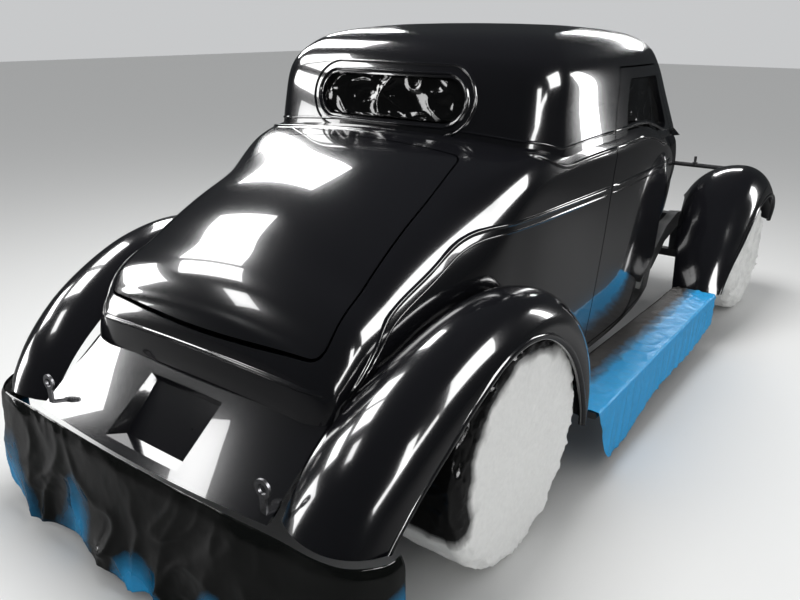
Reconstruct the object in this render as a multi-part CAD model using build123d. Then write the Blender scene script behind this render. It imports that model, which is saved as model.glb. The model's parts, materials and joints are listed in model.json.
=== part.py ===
from build123d import *
import math
import os

# Low three-window coupe of the thirties, in paint and part-masked. Millimetres, +X forward,
# +Y to the left, +Z up. The origin is on the ground in the middle of the overall box.

# Overall layout
WHEELBASE = 2845.0
REAR_OVERHANG = 812.0
FRONT_OVERHANG = 448.9
X_REAR_AXLE = (WHEELBASE + REAR_OVERHANG + FRONT_OVERHANG) / -2 + REAR_OVERHANG

# Wheels and tyres
REAR_TYRE_R = 379.0
REAR_TYRE_WIDTH = 236.0
REAR_WHEEL_Y = 704.0
FRONT_TYRE_R = 322.0
FRONT_TYRE_WIDTH = 165.0
FRONT_WHEEL_Y = 690.0
RIM_R = 191.0
COVER_GAP = 2.0
COVER_THICK = 5.0
COVER_RETURN = 46.0
COVER_BEVEL = 12.0
# A tyre's section, as distances in from its radius and its half width
BEAD_SET_IN = 16.0
BULGE_SET_IN = 6.0
TYRE_WALL_END = (23.8, 9.0)
TYRE_SHOULDER = (8.0, 18.0)
TYRE_TREAD_IN = 34.0
REAR_AXLE_Z = REAR_TYRE_R + COVER_GAP + COVER_THICK
FRONT_AXLE_Z = FRONT_TYRE_R + COVER_GAP + COVER_THICK

# Openings in the body's sides for the rear wheels
REAR_ARCH_R = 402.0
REAR_ARCH_Y = 560.0
REAR_ARCH_DEPTH = 300.0
WHEELHOUSE_WALL = 8.0
WHEELHOUSE_GAP = 2.0
AXLE_HOLE_R = 90.0

# Shells and gaps
BODY_WALL = 38.0
SILL_DROP = 60.0
SILL_LEAN = 0.3
DECK_WALL = 30.0
ROOF_WALL = 26.0
FENDER_WALL = 9.0
HOOD_WALL = 8.0
PANEL_GAP = 6.0
BELT_Z = 1150.0
# Shares of a wall by which the body's shoulder, the roof's edge and the cabin's corner move in
SHOULDER_SHARE = 0.6
ROOF_EDGE_SHARE = 0.4
CORNER_SHARE = 0.3

# Spaces that outlines are run through to cut or to keep: across one side, across the rear wall,
# across the windscreen, and blocks that reach past what they cut
SIDE_SPACE = (400.0, 800.0)
DOOR_SPACE_Y = 640.0
DOOR_SPACE_HALF = 420.0
REAR_WALL_SPACE = (300.0, 620.0)
SCREEN_SPACE_D = 1500.0
SCREEN_SPACE_RUN = 600.0
BLOCK = 400.0
LONG_BLOCK = 1500.0
WIDE_BLOCK = 1600.0
HALF_CAR = (6000.0, 1000.0, 3000.0)
OUTWARD = (Align.CENTER, Align.MIN, Align.CENTER)

# Body sections from the tail's corner to the cowl. Columns: distance ahead of the rear axle, sill
# half width and height, widest point half width and height, shoulder half width and height, centre
# height. Even spacing keeps the skin from waving.
BODY_SECTIONS = [
    (-493, 502, 415, 540, 665, 445, 785, 824),
    (-300, 540, 398, 570, 745, 440, 925, 978),
    (-120, 560, 390, 590, 805, 430, 1025, 1082),
    (80, 575, 366, 612, 870, 430, 1110, 1166),
    (320, 588, 338, 642, 1076, 545, 1196, 1240),
    (600, 597, 322, 656, 1130, 565, 1244, 1300),
    (950, 602, 320, 666, 1140, 575, 1256, 1314),
    (1350, 592, 322, 652, 1130, 562, 1246, 1302),
    (1650, 565, 328, 618, 1060, 530, 1172, 1206),
    (1910, 522, 342, 558, 950, 456, 1070, 1112),
]
# Where the cabin's hollow ends behind the cowl, with the same columns
FIREWALL_SECTION = (1752, 546, 334, 594, 1017, 501, 1132, 1169)
COWL_HOLLOW_RUN = 200.0
# The rounded end of the tail, with the same columns, up to the first body section
TAIL_SECTIONS = [
    (-558, 440, 430, 476, 530, 390, 606, 628),
    (-545, 462, 425, 506, 570, 405, 690, 716),
    (-527, 484, 420, 527, 615, 425, 736, 770),
    BODY_SECTIONS[0],
]

# Cabin above the belt, from the belt up. Columns: height, centre of the rear wall ahead of the rear
# axle, bulge of the rear wall, its half width, chord of the rear corner, windscreen pillar ahead of
# the rear axle, its half width.
ROOF_SECTIONS = [
    (1150, 352, 46, 506, 206, 1782, 598),
    (1300, 370, 45, 500, 190, 1704, 570),
    (1440, 405, 42, 486, 190, 1625, 545),
    (1520, 465, 40, 440, 180, 1575, 505),
    (1570, 570, 35, 370, 160, 1470, 425),
    (1598, 760, 24, 250, 120, 1270, 285),
]
# The first row where the walls bend over into the roof
ROOF_BEND_ROW = 3
# The crown's flat middle, with the same columns
CROWN_SECTION = (1606, 880, 14, 140, 78, 1150, 165)
CORNER_SPLAY_DEG = 4.0
ROOF_FOOT_DROP = 5.0
FOOTPRINT_RUN = 700.0
OPENING_DROP = 60.0

# Door, as seen from the side: ahead of the rear axle and height
DOOR_OUTLINE = [
    (936, 352), (930, 1070), (940, 1200), (976, 1340), (1012, 1452),
    (1530, 1444), (1604, 1330), (1690, 1160), (1712, 1000), (1730, 700), (1735, 352),
]
DOOR_CORNER_R = 26.0
DOOR_WINDOW = [(1060, 1172), (1078, 1300), (1108, 1410), (1512, 1402), (1560, 1310), (1622, 1180)]
DOOR_WINDOW_R = 24.0
DOOR_EDGE_SLANT = 0.22
DOOR_HINGE_D = 932.0
DOOR_HINGE_Y = 684.0
DOOR_HINGE_HEIGHTS = (560.0, 1060.0)
HINGE_R = 9.0
HINGE_PIN_R = 5.0
HINGE_BARREL = 40.0
HINGE_END = 16.0
HINGE_SPACE = 5.0
HINGE_LEAF = 30.0
HINGE_ROOT_Y = 616.0
HINGE_BRIDGE_Y = 655.0
HINGE_SET_BACK = 10.0

# Deck lid, as seen from above: ahead of the rear axle and half width
LID_FRONT = 262.0
LID_REAR = -505.0
LID_FRONT_HALF = 402.0
LID_REAR_HALF = 474.0
LID_REAR_BOW = 26.0
LID_CORNER_R = 30.0
LID_EDGE_SLANT = 0.55
LID_EDGE_Z = 742.0
LID_BLOCK_LOW = 620.0
LID_BLOCK_HEIGHT = 700.0

# Mouldings along the body's side and the belt, as seen from the side: ahead of the rear axle and
# height of the middle, how high and how proud
MOULDINGS = [
    [(1860, 1006), (1360, 1024), (900, 1024), (400, 1018), (85, 1008)],
    [(1800, 1086), (1360, 1104), (900, 1104), (560, 1112)],
]
MOULDING_HEIGHT = 13.0
MOULDING_PROUD = 3.5
MOULDING_SCRAP = 1000.0

# Rear window
REAR_WINDOW_Z = 1356.0
REAR_WINDOW_WIDTH = 640.0
REAR_WINDOW_HEIGHT = 150.0
WINDOW_BEAD_R = 7.0
WINDOW_BEAD_REACH = 26.0
REAR_WALL_RUN = 53.0
REAR_WALL_RISE = 290.0

# Windscreen
SCREEN_HALF = 478.0
SCREEN_LOW_Z = 1186.0
SCREEN_HIGH_Z = 1418.0
SCREEN_CORNER_R = 34.0
SCREEN_FILM_DEPTH = 18.0

# Rolled pan below the tail
PAN_HALF = 520.0
PAN_TOP_D = -566.0
PAN_TOP_Z = 604.0
PAN_DROP = 176.0
PAN_RUN = 232.0
PAN_BOW = 26.0
PAN_WALL = 9.0
PAN_ROOM = 120.0
PLATE_WIDTH = 336.0
PLATE_HIGH = -116.0
PLATE_LOW = 118.0
PLATE_BACK_WIDTH = 296.0
PLATE_BACK_HIGH = -104.0
PLATE_BACK_LOW = 76.0
PLATE_BACK_HIGH_DEPTH = 22.0
PLATE_BACK_LOW_DEPTH = 50.0
PLATE_MOUTH_PROUD = 4.0
PLATE_HOLE_SPACING = 178.0
PLATE_HOLE_R = 3.5
HOLE_RUN = 60.0

# Rear fender, in planes through the rear axle's line. Columns: angle up from straight ahead,
# radius and half width of the inner edge, of the crown and of the lip.
REAR_FENDER_SECTIONS = [
    (-12, 500, 608, 522, 744, 424, 850),
    (10, 470, 606, 506, 744, 376, 854),
    (35, 452, 602, 498, 742, 352, 858),
    (62, 436, 596, 492, 740, 356, 860),
    (90, 414, 590, 496, 738, 392, 860),
    (115, 424, 578, 518, 734, 430, 858),
    (138, 500, 560, 574, 726, 462, 854),
    (156, 590, 544, 656, 712, 520, 846),
    (169, 676, 534, 730, 694, 604, 834),
    (177, 730, 528, 776, 678, 676, 824),
]

# Front fender, in planes through the front axle's line. Columns as for the rear fender.
FRONT_FENDER_SECTIONS = [
    (184, 742, 590, 752, 700, 700, 818),
    (174, 640, 556, 660, 700, 560, 824),
    (162, 500, 500, 566, 696, 452, 830),
    (146, 380, 452, 512, 690, 388, 834),
    (122, 316, 420, 494, 684, 358, 836),
    (95, 292, 384, 508, 676, 352, 836),
    (70, 300, 344, 508, 668, 372, 832),
    (50, 330, 310, 502, 660, 400, 824),
    (32, 380, 296, 486, 650, 420, 808),
    (18, 428, 306, 472, 636, 436, 784),
]
LIP_BEAD = 12.0

# Running board
BOARD_REAR = 520.0
BOARD_FRONT = WHEELBASE - 753.0
BOARD_Z = 268.0
BOARD_THICK = 26.0
BOARD_INNER = 606.0
BOARD_OUTER_REAR = 848.0
BOARD_OUTER_FRONT = 806.0
BOARD_EDGE_R = 8.0

# Grille shell
SHELL_AHEAD = 195.0
SHELL_D = WHEELBASE + SHELL_AHEAD

# Hood, in upright sections from the cowl forward. Columns: share of the way from the first section
# to the grille shell's foot, half width and height of the lower edge, of the side, of the shoulder,
# centre height.
HOOD_START_D = 1780.0
HOOD_SECTIONS = [
    (0.0, 542, 604, 587, 1002, 490, 1116, 1154),
    (0.3175, 450, 600, 484, 938, 384, 1060, 1104),
    (0.6508, 318, 596, 344, 905, 262, 1012, 1056),
    (0.9524, 196, 592, 212, 895, 164, 972, 1016),
]
HOOD_REAR_D = HOOD_START_D + 72.0
HOOD_REAR_Z = 592.0
HOOD_SLOPE = -0.10
HOOD_SPLIT = 12.0
HOOD_DROP = 40.0
HOOD_SIDE_LEAN = 0.12
HOOD_ROD_R = 5.0
HOOD_ROD_ENDS = [(HOOD_START_D + 8, 1149), (SHELL_D - 190, 1025)]

# Louvres in the hood's sides, leaning back at the top
LOUVRE_COUNT = 16
LOUVRE_FIRST_D = 1960.0
LOUVRE_PITCH = 38.0
LOUVRE_LENGTH = 170.0
LOUVRE_WIDTH = 15.0
LOUVRE_PROUD = 5.0
LOUVRE_Z = 780.0
LOUVRE_LEAN = 36.0
LOUVRE_SPACE = (100.0, 800.0)

# Grille shell's outline and its bars
SHELL_FOOT_Z = 420.0
SHELL_LEAN_DEG = 12.0
SHELL_DEPTH = 80.0
SHELL_HEIGHT = 641.0
SHELL_HALF = 258.0
SHELL_FOOT_HALF = 92.0
SHELL_FOOT_BOW = 14.0
SHELL_FOOT_SHARE = 0.8
SHELL_SHOULDER_IN = 62.0
SHELL_SHOULDER_DROP = 42.0
SHELL_SHOULDER_SHARE = 0.2
SHELL_SIDE_DROP = 128.0
SHELL_RIM = 32.0
BAR_PITCH = 17.0
BAR_WIDTH = 4.0
BAR_DEPTH = 12.0
BAR_SETBACK = 14.0
BAR_CLEAR = 0.5
TIE_HEIGHTS = (150.0, 320.0, 480.0)
TIE_SIZE = 5.0
RADIATOR_DEPTH = 46.0
RADIATOR_SETBACK = 4.0
RADIATOR_CLEAR = 2.0

# Frame
RAIL_WIDTH = 54.0
RAIL_REAR_Y = 424.0
RAIL_FRONT_Y = 330.0
RAIL_TAPER_D = 1900.0
RAIL_FRONT_D = SHELL_D - 30.0
# One rail from the side: place ahead of the rear axle and height of its lower edge
RAIL_SIDE = [
    (-500, 488), (-330, 500), (-60, 522), (230, 452), (440, 322),
    (WHEELBASE - 595, 322), (WHEELBASE - 345, 424), (WHEELBASE - 85, 452), (RAIL_FRONT_D, 400),
]
RAIL_HEIGHT = 92.0
RAIL_SPACE_Y = (200.0, 600.0)
RAIL_SPACE_Z = (200.0, 800.0)
ENGINE_MOUNT_D = 2100.0
CROSS_MEMBERS = [-466, 0, 470, 1180, ENGINE_MOUNT_D, WHEELBASE, SHELL_D - 115]
CROSS_LIFT = 18.0
CROSS_SIZE = 58.0
SPRING_R = 24.0
SPRING_RUN = 260.0

# Floor, as seen from the side and from above
FLOOR_THICK = 14.0
FLOOR_SIDE = [(-530, 616), (250, 616), (450, 416), (1860, 416)]
FLOOR_HALF = 700.0
FLOOR_SET_ON = 0.6
FIREWALL = 25.0

# Engine, as one plain block
ENGINE_REAR = ENGINE_MOUNT_D - 110.0
ENGINE_FRONT = WHEELBASE - 185.0
ENGINE_HALF = 190.0
ENGINE_HIGH_Z = 900.0

# Axles and knuckles
AXLE_TUBE_R = 38.0
DIFF_R = 118.0
DIFF_LENGTH = 190.0
DIFF_EDGE_R = 52.0
REAR_SPINDLE_R = 24.0
REAR_TUBE_END = 556.0
HUB_CLEAR = 0.05
HUB_R = 58.0
HUB_HALF = 34.0
RIM_WALL = 8.0
RIM_DISC = 10.0
RIM_DISH = 12.0
KINGPIN_Y = 560.0
KINGPIN_R = 12.0
KINGPIN_BOSS_R = 27.0
KINGPIN_BOSS_HEIGHT = 62.0
KNUCKLE_EAR = 14.0
KNUCKLE_EAR_R = 24.0
KNUCKLE_GAP = 1.0
KNUCKLE_BLOCK_Y = 592.0
KNUCKLE_BLOCK = 12.0
SPINDLE_SEAT = 4.0
FRONT_SPINDLE_R = 18.0
BEAM_DROP = 62.0
BEAM_HALF = 22.0
BEAM_WIDTH = 52.0
BEAM_STEP_IN = 430.0
BEAM_STEP_OUT = 500.0

# Headlight bar, bare of its lamps, and tail-light brackets, bare of theirs
LAMP_BAR_D = WHEELBASE + 139.0
LAMP_BAR_Z = 792.0
LAMP_BAR_R = 13.0
LAMP_BAR_HALF = 560.0
LAMP_STUD_Y = 372.0
# Each stud's collar, neck and thread: radius, and height above the bar's middle from and to
LAMP_STUD = [(15, 0, 18), (6, 18, 23), (8, 23, 53)]
TAIL_BRACKET_D = -752.0
TAIL_BRACKET_Y = 492.0
TAIL_BRACKET_Z = 514.0
TAIL_PLATE = 8.0
TAIL_RING_R = 27.0
TAIL_HOLE_R = 15.0
TAIL_STALK_WIDTH = 22.0
TAIL_STALK_RUN = 120.0

# Masking film and paper that hangs on the car
FILM = 4.0
FILM_GAP = 2.0
FILM_SET_IN = 4.0
FILM_LOW_Z = 10.0
FILM_SPACE = (500.0, 1000.0)
HEM_MARGIN = 50.0
BOARD_FILM_HEM = [(2080, 200), (1900, 118), (1150, 104), (760, 40), (640, 60), (545, 240)]
SKIRT_TOP_Z = 440.0
SKIRT_HEM_TOP = 500.0
SKIRT_HEM = [(-900, 196), (-790, 180), (-660, 60), (-300, 30), (300, 30), (660, 60), (790, 180), (900, 196)]
SKIRT_LINE = [(-650, 856), (-706, 850), (-772, 788), (-794, 700), (-795, 560), (-REAR_OVERHANG, 60)]
WINDOW_FILM = 4.0
WINDOW_FILM_GAP = 1.0
REAR_FILM_DEPTH = 24.0
REAR_FILM_SLAB = (900.0, 900.0)
SCREEN_FILM_SLAB = (1200.0, 600.0)


def ahead(d):
    return X_REAR_AXLE + d


def mirrored(shape):
    return mirror(shape, about=Plane.XZ)


def save(shape, name):
    export_step(shape, "parts/" + name + ".step")


def save_pair(left, stem):
    save(left, stem + "_left")
    save(mirrored(left), stem + "_right")


def half_space(x, z, slope, reach=3000.0):
    """Everything ahead of a plane across the car that leans by slope, dx for each dz."""
    low = x - slope * reach
    high = x + slope * reach
    with BuildPart() as ahead_of:
        with BuildSketch(Plane.XZ):
            with BuildLine():
                Polyline((low, z - reach), (low + 2 * reach, z - reach),
                         (high + 2 * reach, z + reach), (high, z + reach), close=True)
            make_face()
        extrude(amount=reach, both=True)
    return ahead_of.part


def arch_face(d, y_sill, z_sill, y_side, z_side, y_shoulder, z_shoulder, z_top):
    """A body section: flat bottom, bowed sides, round shoulders and a crowned top."""
    x = ahead(d)
    sill = Vector(x, y_sill, z_sill)
    side = Vector(x, y_side, z_side)
    shoulder = Vector(x, y_shoulder, z_shoulder)
    flip = lambda p: Vector(p.X, -p.Y, p.Z)
    crown = ThreePointArc(flip(shoulder), Vector(x, 0, z_top), shoulder)
    round_left = TangentArc(shoulder, side, tangent=crown % 1)
    flank_left = TangentArc(side, sill, tangent=round_left % 1)
    round_right = mirrored(round_left)
    flank_right = mirrored(flank_left)
    bottom = Line(sill, flip(sill))
    return make_face([crown, round_left, flank_left, bottom, flank_right, round_right])


def inset_face(row, inset, top_inset, sill_drop):
    """A body section moved inward, with its sill run on downward."""
    d, y0, z0, y1, z1, y2, z2, z3 = row
    return arch_face(d, y0 - inset - SILL_LEAN * sill_drop, z0 - sill_drop, y1 - inset, z1,
                     y2 - SHOULDER_SHARE * inset, z2 - top_inset, z3 - top_inset)


def body_solids(inset=0.0, top_inset=0.0, sill_drop=0.0):
    """The main run of the body and the rounded tail end, as two solids that meet."""
    tail_d = TAIL_SECTIONS[0][0]
    corner_d = BODY_SECTIONS[0][0]
    squeeze = 1 - inset / (corner_d - tail_d)

    def run(rows):
        faces = []
        for d, *sizes in rows:
            place = corner_d + (d - corner_d) * squeeze if d < corner_d else d
            faces.append(inset_face((place, *sizes), inset, top_inset, sill_drop))
        return loft(faces)

    rows = BODY_SECTIONS[:-1] + [FIREWALL_SECTION] if inset else BODY_SECTIONS
    return run(rows), run(TAIL_SECTIONS)


def cowl_hollow():
    """The hollow's last stretch, under the cowl, up to the slanted firewall."""
    face = inset_face(FIREWALL_SECTION, BODY_WALL, DECK_WALL, SILL_DROP)
    run = extrude(face, amount=COWL_HOLLOW_RUN, dir=(1, 0, 0))
    return run - half_space(ahead(HOOD_REAR_D) - FIREWALL, HOOD_REAR_Z, HOOD_SLOPE)


def rear_arch(y_from):
    return Pos(ahead(0), 0, REAR_AXLE_Z) * along_y(REAR_ARCH_R, y_from, y_from + REAR_ARCH_DEPTH)


def roof_face(z, d_rear, bulge, y_rear, chord, d_front, y_front, inset):
    """A level cabin section: bowed rear wall, round rear corners, sides that close in forward."""
    x_rear = ahead(d_rear) + inset
    y_end = y_rear - inset
    rear = ThreePointArc((x_rear + bulge, -y_end, z), (x_rear, 0, z), (x_rear + bulge, y_end, z))
    leaving = rear % 1
    heading = math.degrees(math.atan2(leaving.Y, leaving.X))
    chord_angle = math.radians((heading + CORNER_SPLAY_DEG) / 2)
    start = Vector(x_rear + bulge, y_end, z)
    chord_way = Vector(math.cos(chord_angle), math.sin(chord_angle), 0)
    corner_end = start + chord_way * (chord - CORNER_SHARE * inset)
    corner = TangentArc(start, corner_end, tangent=leaving)
    pillar = Vector(ahead(d_front) - inset, y_front - inset, z)
    side = TangentArc(corner_end, pillar, tangent=corner % 1)
    front = Line(pillar, Vector(pillar.X, -pillar.Y, z))
    return make_face([rear, corner, side, front, mirrored(side), mirrored(corner)])


def roof_solid(inset=0.0, top_inset=0.0, foot_drop=0.0):
    faces = []
    for index, (z, d_rear, bulge, y_rear, chord, d_front, y_front) in enumerate(ROOF_SECTIONS):
        high = index >= ROOF_BEND_ROW
        wall = ROOF_EDGE_SHARE * inset if high else inset
        lower = top_inset if high else (foot_drop if index == 0 else 0)
        faces.append(roof_face(z - lower, d_rear, bulge, y_rear, chord, d_front, y_front, wall))
    return loft(faces)


def side_prism(outline, radius, grow=0.0, slant=0.0):
    """A left-hand block with the given outline from the side, grown outward and slanted across."""
    points = [(ahead(d), z) for d, z in outline]
    sketch = Plane.XZ * make_face(Polyline(*points, close=True))
    sketch = fillet(sketch.vertices(), radius)
    if grow:
        sketch = offset(sketch, amount=grow, kind=Kind.ARC)
    direction = Vector(slant, 1, 0)
    start = Vector(slant * -DOOR_SPACE_HALF, DOOR_SPACE_Y - DOOR_SPACE_HALF, 0)
    return extrude(Pos(start) * sketch, amount=2 * DOOR_SPACE_HALF * direction.length, dir=direction)


def lid_block(grow=0.0):
    """The lid's outline from above, run upward, its rear edge cut along the lid's own swing."""
    front = ahead(LID_FRONT) + grow
    rear = ahead(LID_REAR) - grow
    front_half = LID_FRONT_HALF + grow
    rear_half = LID_REAR_HALF + grow
    with BuildSketch() as plan:
        with BuildLine():
            Line((front, front_half), (rear, rear_half))
            ThreePointArc((rear, rear_half), (rear - LID_REAR_BOW, 0), (rear, -rear_half))
            Line((rear, -rear_half), (front, -front_half))
            Line((front, -front_half), (front, front_half))
        make_face()
        fillet(plan.vertices(), LID_CORNER_R)
    block = extrude(Pos(0, 0, LID_BLOCK_LOW) * plan.sketch, amount=LID_BLOCK_HEIGHT)
    return block & half_space(rear - LID_REAR_BOW, LID_EDGE_Z, -LID_EDGE_SLANT)


def side_mouldings(form):
    """The left side's mouldings: thin bands of the form's own surface, moved outward."""
    bands = []
    half = MOULDING_HEIGHT / 2
    for line in MOULDINGS:
        outline = [(d, z + half) for d, z in line] + [(d, z - half) for d, z in reversed(line)]
        bands.append(profile_across(outline, *SIDE_SPACE))
    ridges = (Pos(0, MOULDING_PROUD, 0) * form - form) & (Part() + bands)
    return Part() + [solid for solid in ridges.solids() if solid.volume > MOULDING_SCRAP]


def oval_prism(grow):
    """The rear window's outline, grown outward and run through the rear wall."""
    low, high = REAR_WALL_SPACE
    plane = Plane(origin=(ahead(low), 0, REAR_WINDOW_Z), x_dir=(0, 1, 0), z_dir=(1, 0, 0))
    oval = SlotOverall(REAR_WINDOW_WIDTH + 2 * grow, REAR_WINDOW_HEIGHT + 2 * grow)
    return extrude(plane * oval, amount=high - low)


def screen_prism(shrink=0.0):
    width = 2 * SCREEN_HALF - 2 * shrink
    height = SCREEN_HIGH_Z - SCREEN_LOW_Z - 2 * shrink
    middle = (SCREEN_HIGH_Z + SCREEN_LOW_Z) / 2
    plane = Plane(origin=(ahead(SCREEN_SPACE_D), 0, middle), x_dir=(0, 1, 0), z_dir=(1, 0, 0))
    return extrude(plane * RectangleRounded(width, height, SCREEN_CORNER_R), amount=SCREEN_SPACE_RUN)


def hinge_leaf(height, way):
    """A leaf from the hinge's axis over to the skin and into it, forward or rearward."""
    bridge = HINGE_BRIDGE_Y - DOOR_HINGE_Y
    root = HINGE_ROOT_Y - DOOR_HINGE_Y
    start = way * HINGE_SET_BACK
    run = way * (HINGE_LEAF - HINGE_SET_BACK)
    return (Pos(way * HINGE_LEAF / 2, bridge / 2, 0) * Box(HINGE_LEAF, -bridge, height)
            + Pos(start + run / 2, root / 2, 0) * Box(abs(run), -root, height))


def door_hinges():
    """The left door's barrels and leaves, and the body's ends and pins that carry them."""
    on_door = Part()
    on_body = Part()
    end_z = HINGE_BARREL / 2 + HINGE_SPACE
    for height in DOOR_HINGE_HEIGHTS:
        place = Pos(ahead(DOOR_HINGE_D), DOOR_HINGE_Y, height)
        barrel = Cylinder(HINGE_R, HINGE_BARREL) + hinge_leaf(HINGE_BARREL, 1)
        on_door += place * (barrel - Cylinder(HINGE_PIN_R + HUB_CLEAR, HINGE_BARREL))
        ends = Cylinder(HINGE_PIN_R, 2 * end_z + 2 * HINGE_END)
        for side in (1, -1):
            middle = Pos(0, 0, side * (end_z + HINGE_END / 2))
            ends += middle * (Cylinder(HINGE_R, HINGE_END) + hinge_leaf(HINGE_END, -1))
        on_body += place * ends
    return on_door, on_body


def cabin_shells():
    """Body, cabin top, deck lid and left door, all cut from the same outer and inner forms."""
    hollow_main, hollow_tail = body_solids(BODY_WALL, DECK_WALL, SILL_DROP)
    hollow_main = hollow_main + cowl_hollow()
    crown = loft([roof_face(*ROOF_SECTIONS[-1], 0), roof_face(*CROWN_SECTION, 0)])
    footprint = extrude(roof_face(BELT_Z, *ROOF_SECTIONS[0][1:], 0), amount=FOOTPRINT_RUN)
    opening = extrude(roof_face(BELT_Z - OPENING_DROP, *ROOF_SECTIONS[0][1:], BODY_WALL), amount=BLOCK)
    arch = rear_arch(REAR_ARCH_Y) + Pos(ahead(0), 0, REAR_AXLE_Z) * along_y(AXLE_HOLE_R, BLOCK, REAR_ARCH_Y)
    below_floor = Pos(ahead(FLOOR_SIDE[-2][0]), 0, FLOOR_SIDE[-1][1]) * Box(
        LONG_BLOCK, 2 * (BODY_SECTIONS[-1][1] - BODY_WALL), BLOCK, align=(Align.MIN, Align.CENTER, Align.MAX))
    cowl_top = Pos(ahead(ROOF_SECTIONS[0][5]) - 1, 0, BELT_Z) * Box(
        BLOCK, WIDE_BLOCK, BLOCK, align=(Align.MIN, Align.CENTER, Align.MIN))
    main, tail = body_solids()
    lower = main + tail - footprint - cowl_top
    ridges = side_mouldings(main)
    lower = lower + ridges + mirrored(ridges)
    upper = roof_solid() + crown
    cabin = roof_solid(BODY_WALL, ROOF_WALL, ROOF_FOOT_DROP)

    zone = side_prism(DOOR_OUTLINE, DOOR_CORNER_R, 0, DOOR_EDGE_SLANT)
    hole = side_prism(DOOR_OUTLINE, DOOR_CORNER_R, PANEL_GAP, DOOR_EDGE_SLANT)
    window = side_prism(DOOR_WINDOW, DOOR_WINDOW_R)
    door = ((lower & zone) - hollow_main - opening) + ((upper & zone) - cabin) - window
    hinge_door, hinge_body = door_hinges()
    door = door + hinge_door
    lid = (lower & lid_block()) - hollow_main - hollow_tail

    body = lower - hollow_main - hollow_tail - opening
    body = body - half_space(ahead(HOOD_REAR_D), HOOD_REAR_Z, HOOD_SLOPE)
    body = body - lid_block(PANEL_GAP) - hole - mirrored(hole) - pan_clearance()
    body = body - arch - mirrored(arch) - below_floor + hinge_body + mirrored(hinge_body)

    top = upper - hole - mirrored(hole) - cabin
    bead = oval_prism(WINDOW_BEAD_REACH) - oval_prism(WINDOW_BEAD_REACH - 2 * WINDOW_BEAD_R)
    proud = (Pos(-WINDOW_BEAD_R, 0, 0) * upper - upper) & bead
    top = (top + proud) - oval_prism(0) - screen_prism()
    film = roof_solid(SCREEN_FILM_DEPTH) & side_prism(DOOR_WINDOW, DOOR_WINDOW_R, -WINDOW_FILM_GAP)
    film = film - roof_solid(SCREEN_FILM_DEPTH + WINDOW_FILM)
    return body, top, lid, door, film, lower, hollow_main


def pan_direction():
    return Vector(-PAN_RUN, 0, -PAN_DROP)


def pan_band(front, rear):
    """A bowed strip seen from above at the pan's top edge, run down and back along the pan."""
    x = ahead(PAN_TOP_D)
    outline = [
        ThreePointArc((x + PAN_BOW + rear, PAN_HALF), (x + rear, 0), (x + PAN_BOW + rear, -PAN_HALF)),
        Line((x + PAN_BOW + rear, -PAN_HALF), (x + PAN_BOW + front, -PAN_HALF)),
        ThreePointArc((x + PAN_BOW + front, -PAN_HALF), (x + front, 0), (x + PAN_BOW + front, PAN_HALF)),
        Line((x + PAN_BOW + front, PAN_HALF), (x + PAN_BOW + rear, PAN_HALF)),
    ]
    sketch = Pos(0, 0, PAN_TOP_Z) * make_face(outline)
    return extrude(sketch, amount=pan_direction().length, dir=pan_direction())


def pan_wall_across():
    """The pan's wall measured level, for its thickness square to the slope."""
    return PAN_WALL * pan_direction().length / PAN_DROP


def pan_clearance():
    """The room that the body leaves for the pan and what hangs behind it."""
    return pan_band(pan_wall_across() + 1, -PAN_ROOM)


def plate_box(grow, mouth_w):
    """The tapered recess for the plate, from a mouth off the pan's surface to its tilted back."""
    run = pan_direction().normalized()
    middle = Vector(ahead(PAN_TOP_D), 0, PAN_TOP_Z) + pan_direction() * 0.5
    plane = Plane(origin=middle, x_dir=(0, 1, 0), z_dir=(run.Z, 0, -run.X))
    mouth = [(PLATE_HIGH, PLATE_WIDTH, mouth_w), (PLATE_LOW, PLATE_WIDTH, mouth_w)]
    back = [(PLATE_BACK_HIGH, PLATE_BACK_WIDTH, -PLATE_BACK_HIGH_DEPTH),
            (PLATE_BACK_LOW, PLATE_BACK_WIDTH, -PLATE_BACK_LOW_DEPTH)]
    faces = []
    for (one_edge, other_edge), drop in ((mouth, 0), (back, grow)):
        corners = []
        around = [(one_edge, 1, -grow), (one_edge, -1, -grow), (other_edge, -1, grow), (other_edge, 1, grow)]
        for (v, width, w), side, shift in around:
            corners.append(plane.from_local_coords(Vector(side * (width / 2 + grow), v + shift, w - drop)))
        faces.append(make_face(Polyline(*corners, close=True)))
    return loft(faces), plane


def roll_pan():
    pan = pan_band(0, pan_wall_across())
    cavity, plane = plate_box(0, PLATE_MOUTH_PROUD)
    shell, plane = plate_box(PAN_WALL, -PLATE_MOUTH_PROUD)
    pan = (pan + shell) - cavity
    back_high = Vector(0, PLATE_BACK_HIGH, -PLATE_BACK_HIGH_DEPTH)
    back_low = Vector(0, PLATE_BACK_LOW, -PLATE_BACK_LOW_DEPTH)
    back_middle = (back_high + back_low) * 0.5
    back_run = back_low - back_high
    normal = back_run.cross(Vector(-1, 0, 0)).normalized()
    origin = plane.from_local_coords(back_middle)
    outward = plane.from_local_coords(back_middle + normal) - origin
    back_plane = Plane(origin=origin, x_dir=(0, 1, 0), z_dir=outward)
    for side in (1, -1):
        pan = pan - back_plane * Pos(side * PLATE_HOLE_SPACING / 2, 0, 0) * Cylinder(PLATE_HOLE_R, HOLE_RUN)
    return pan


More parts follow.
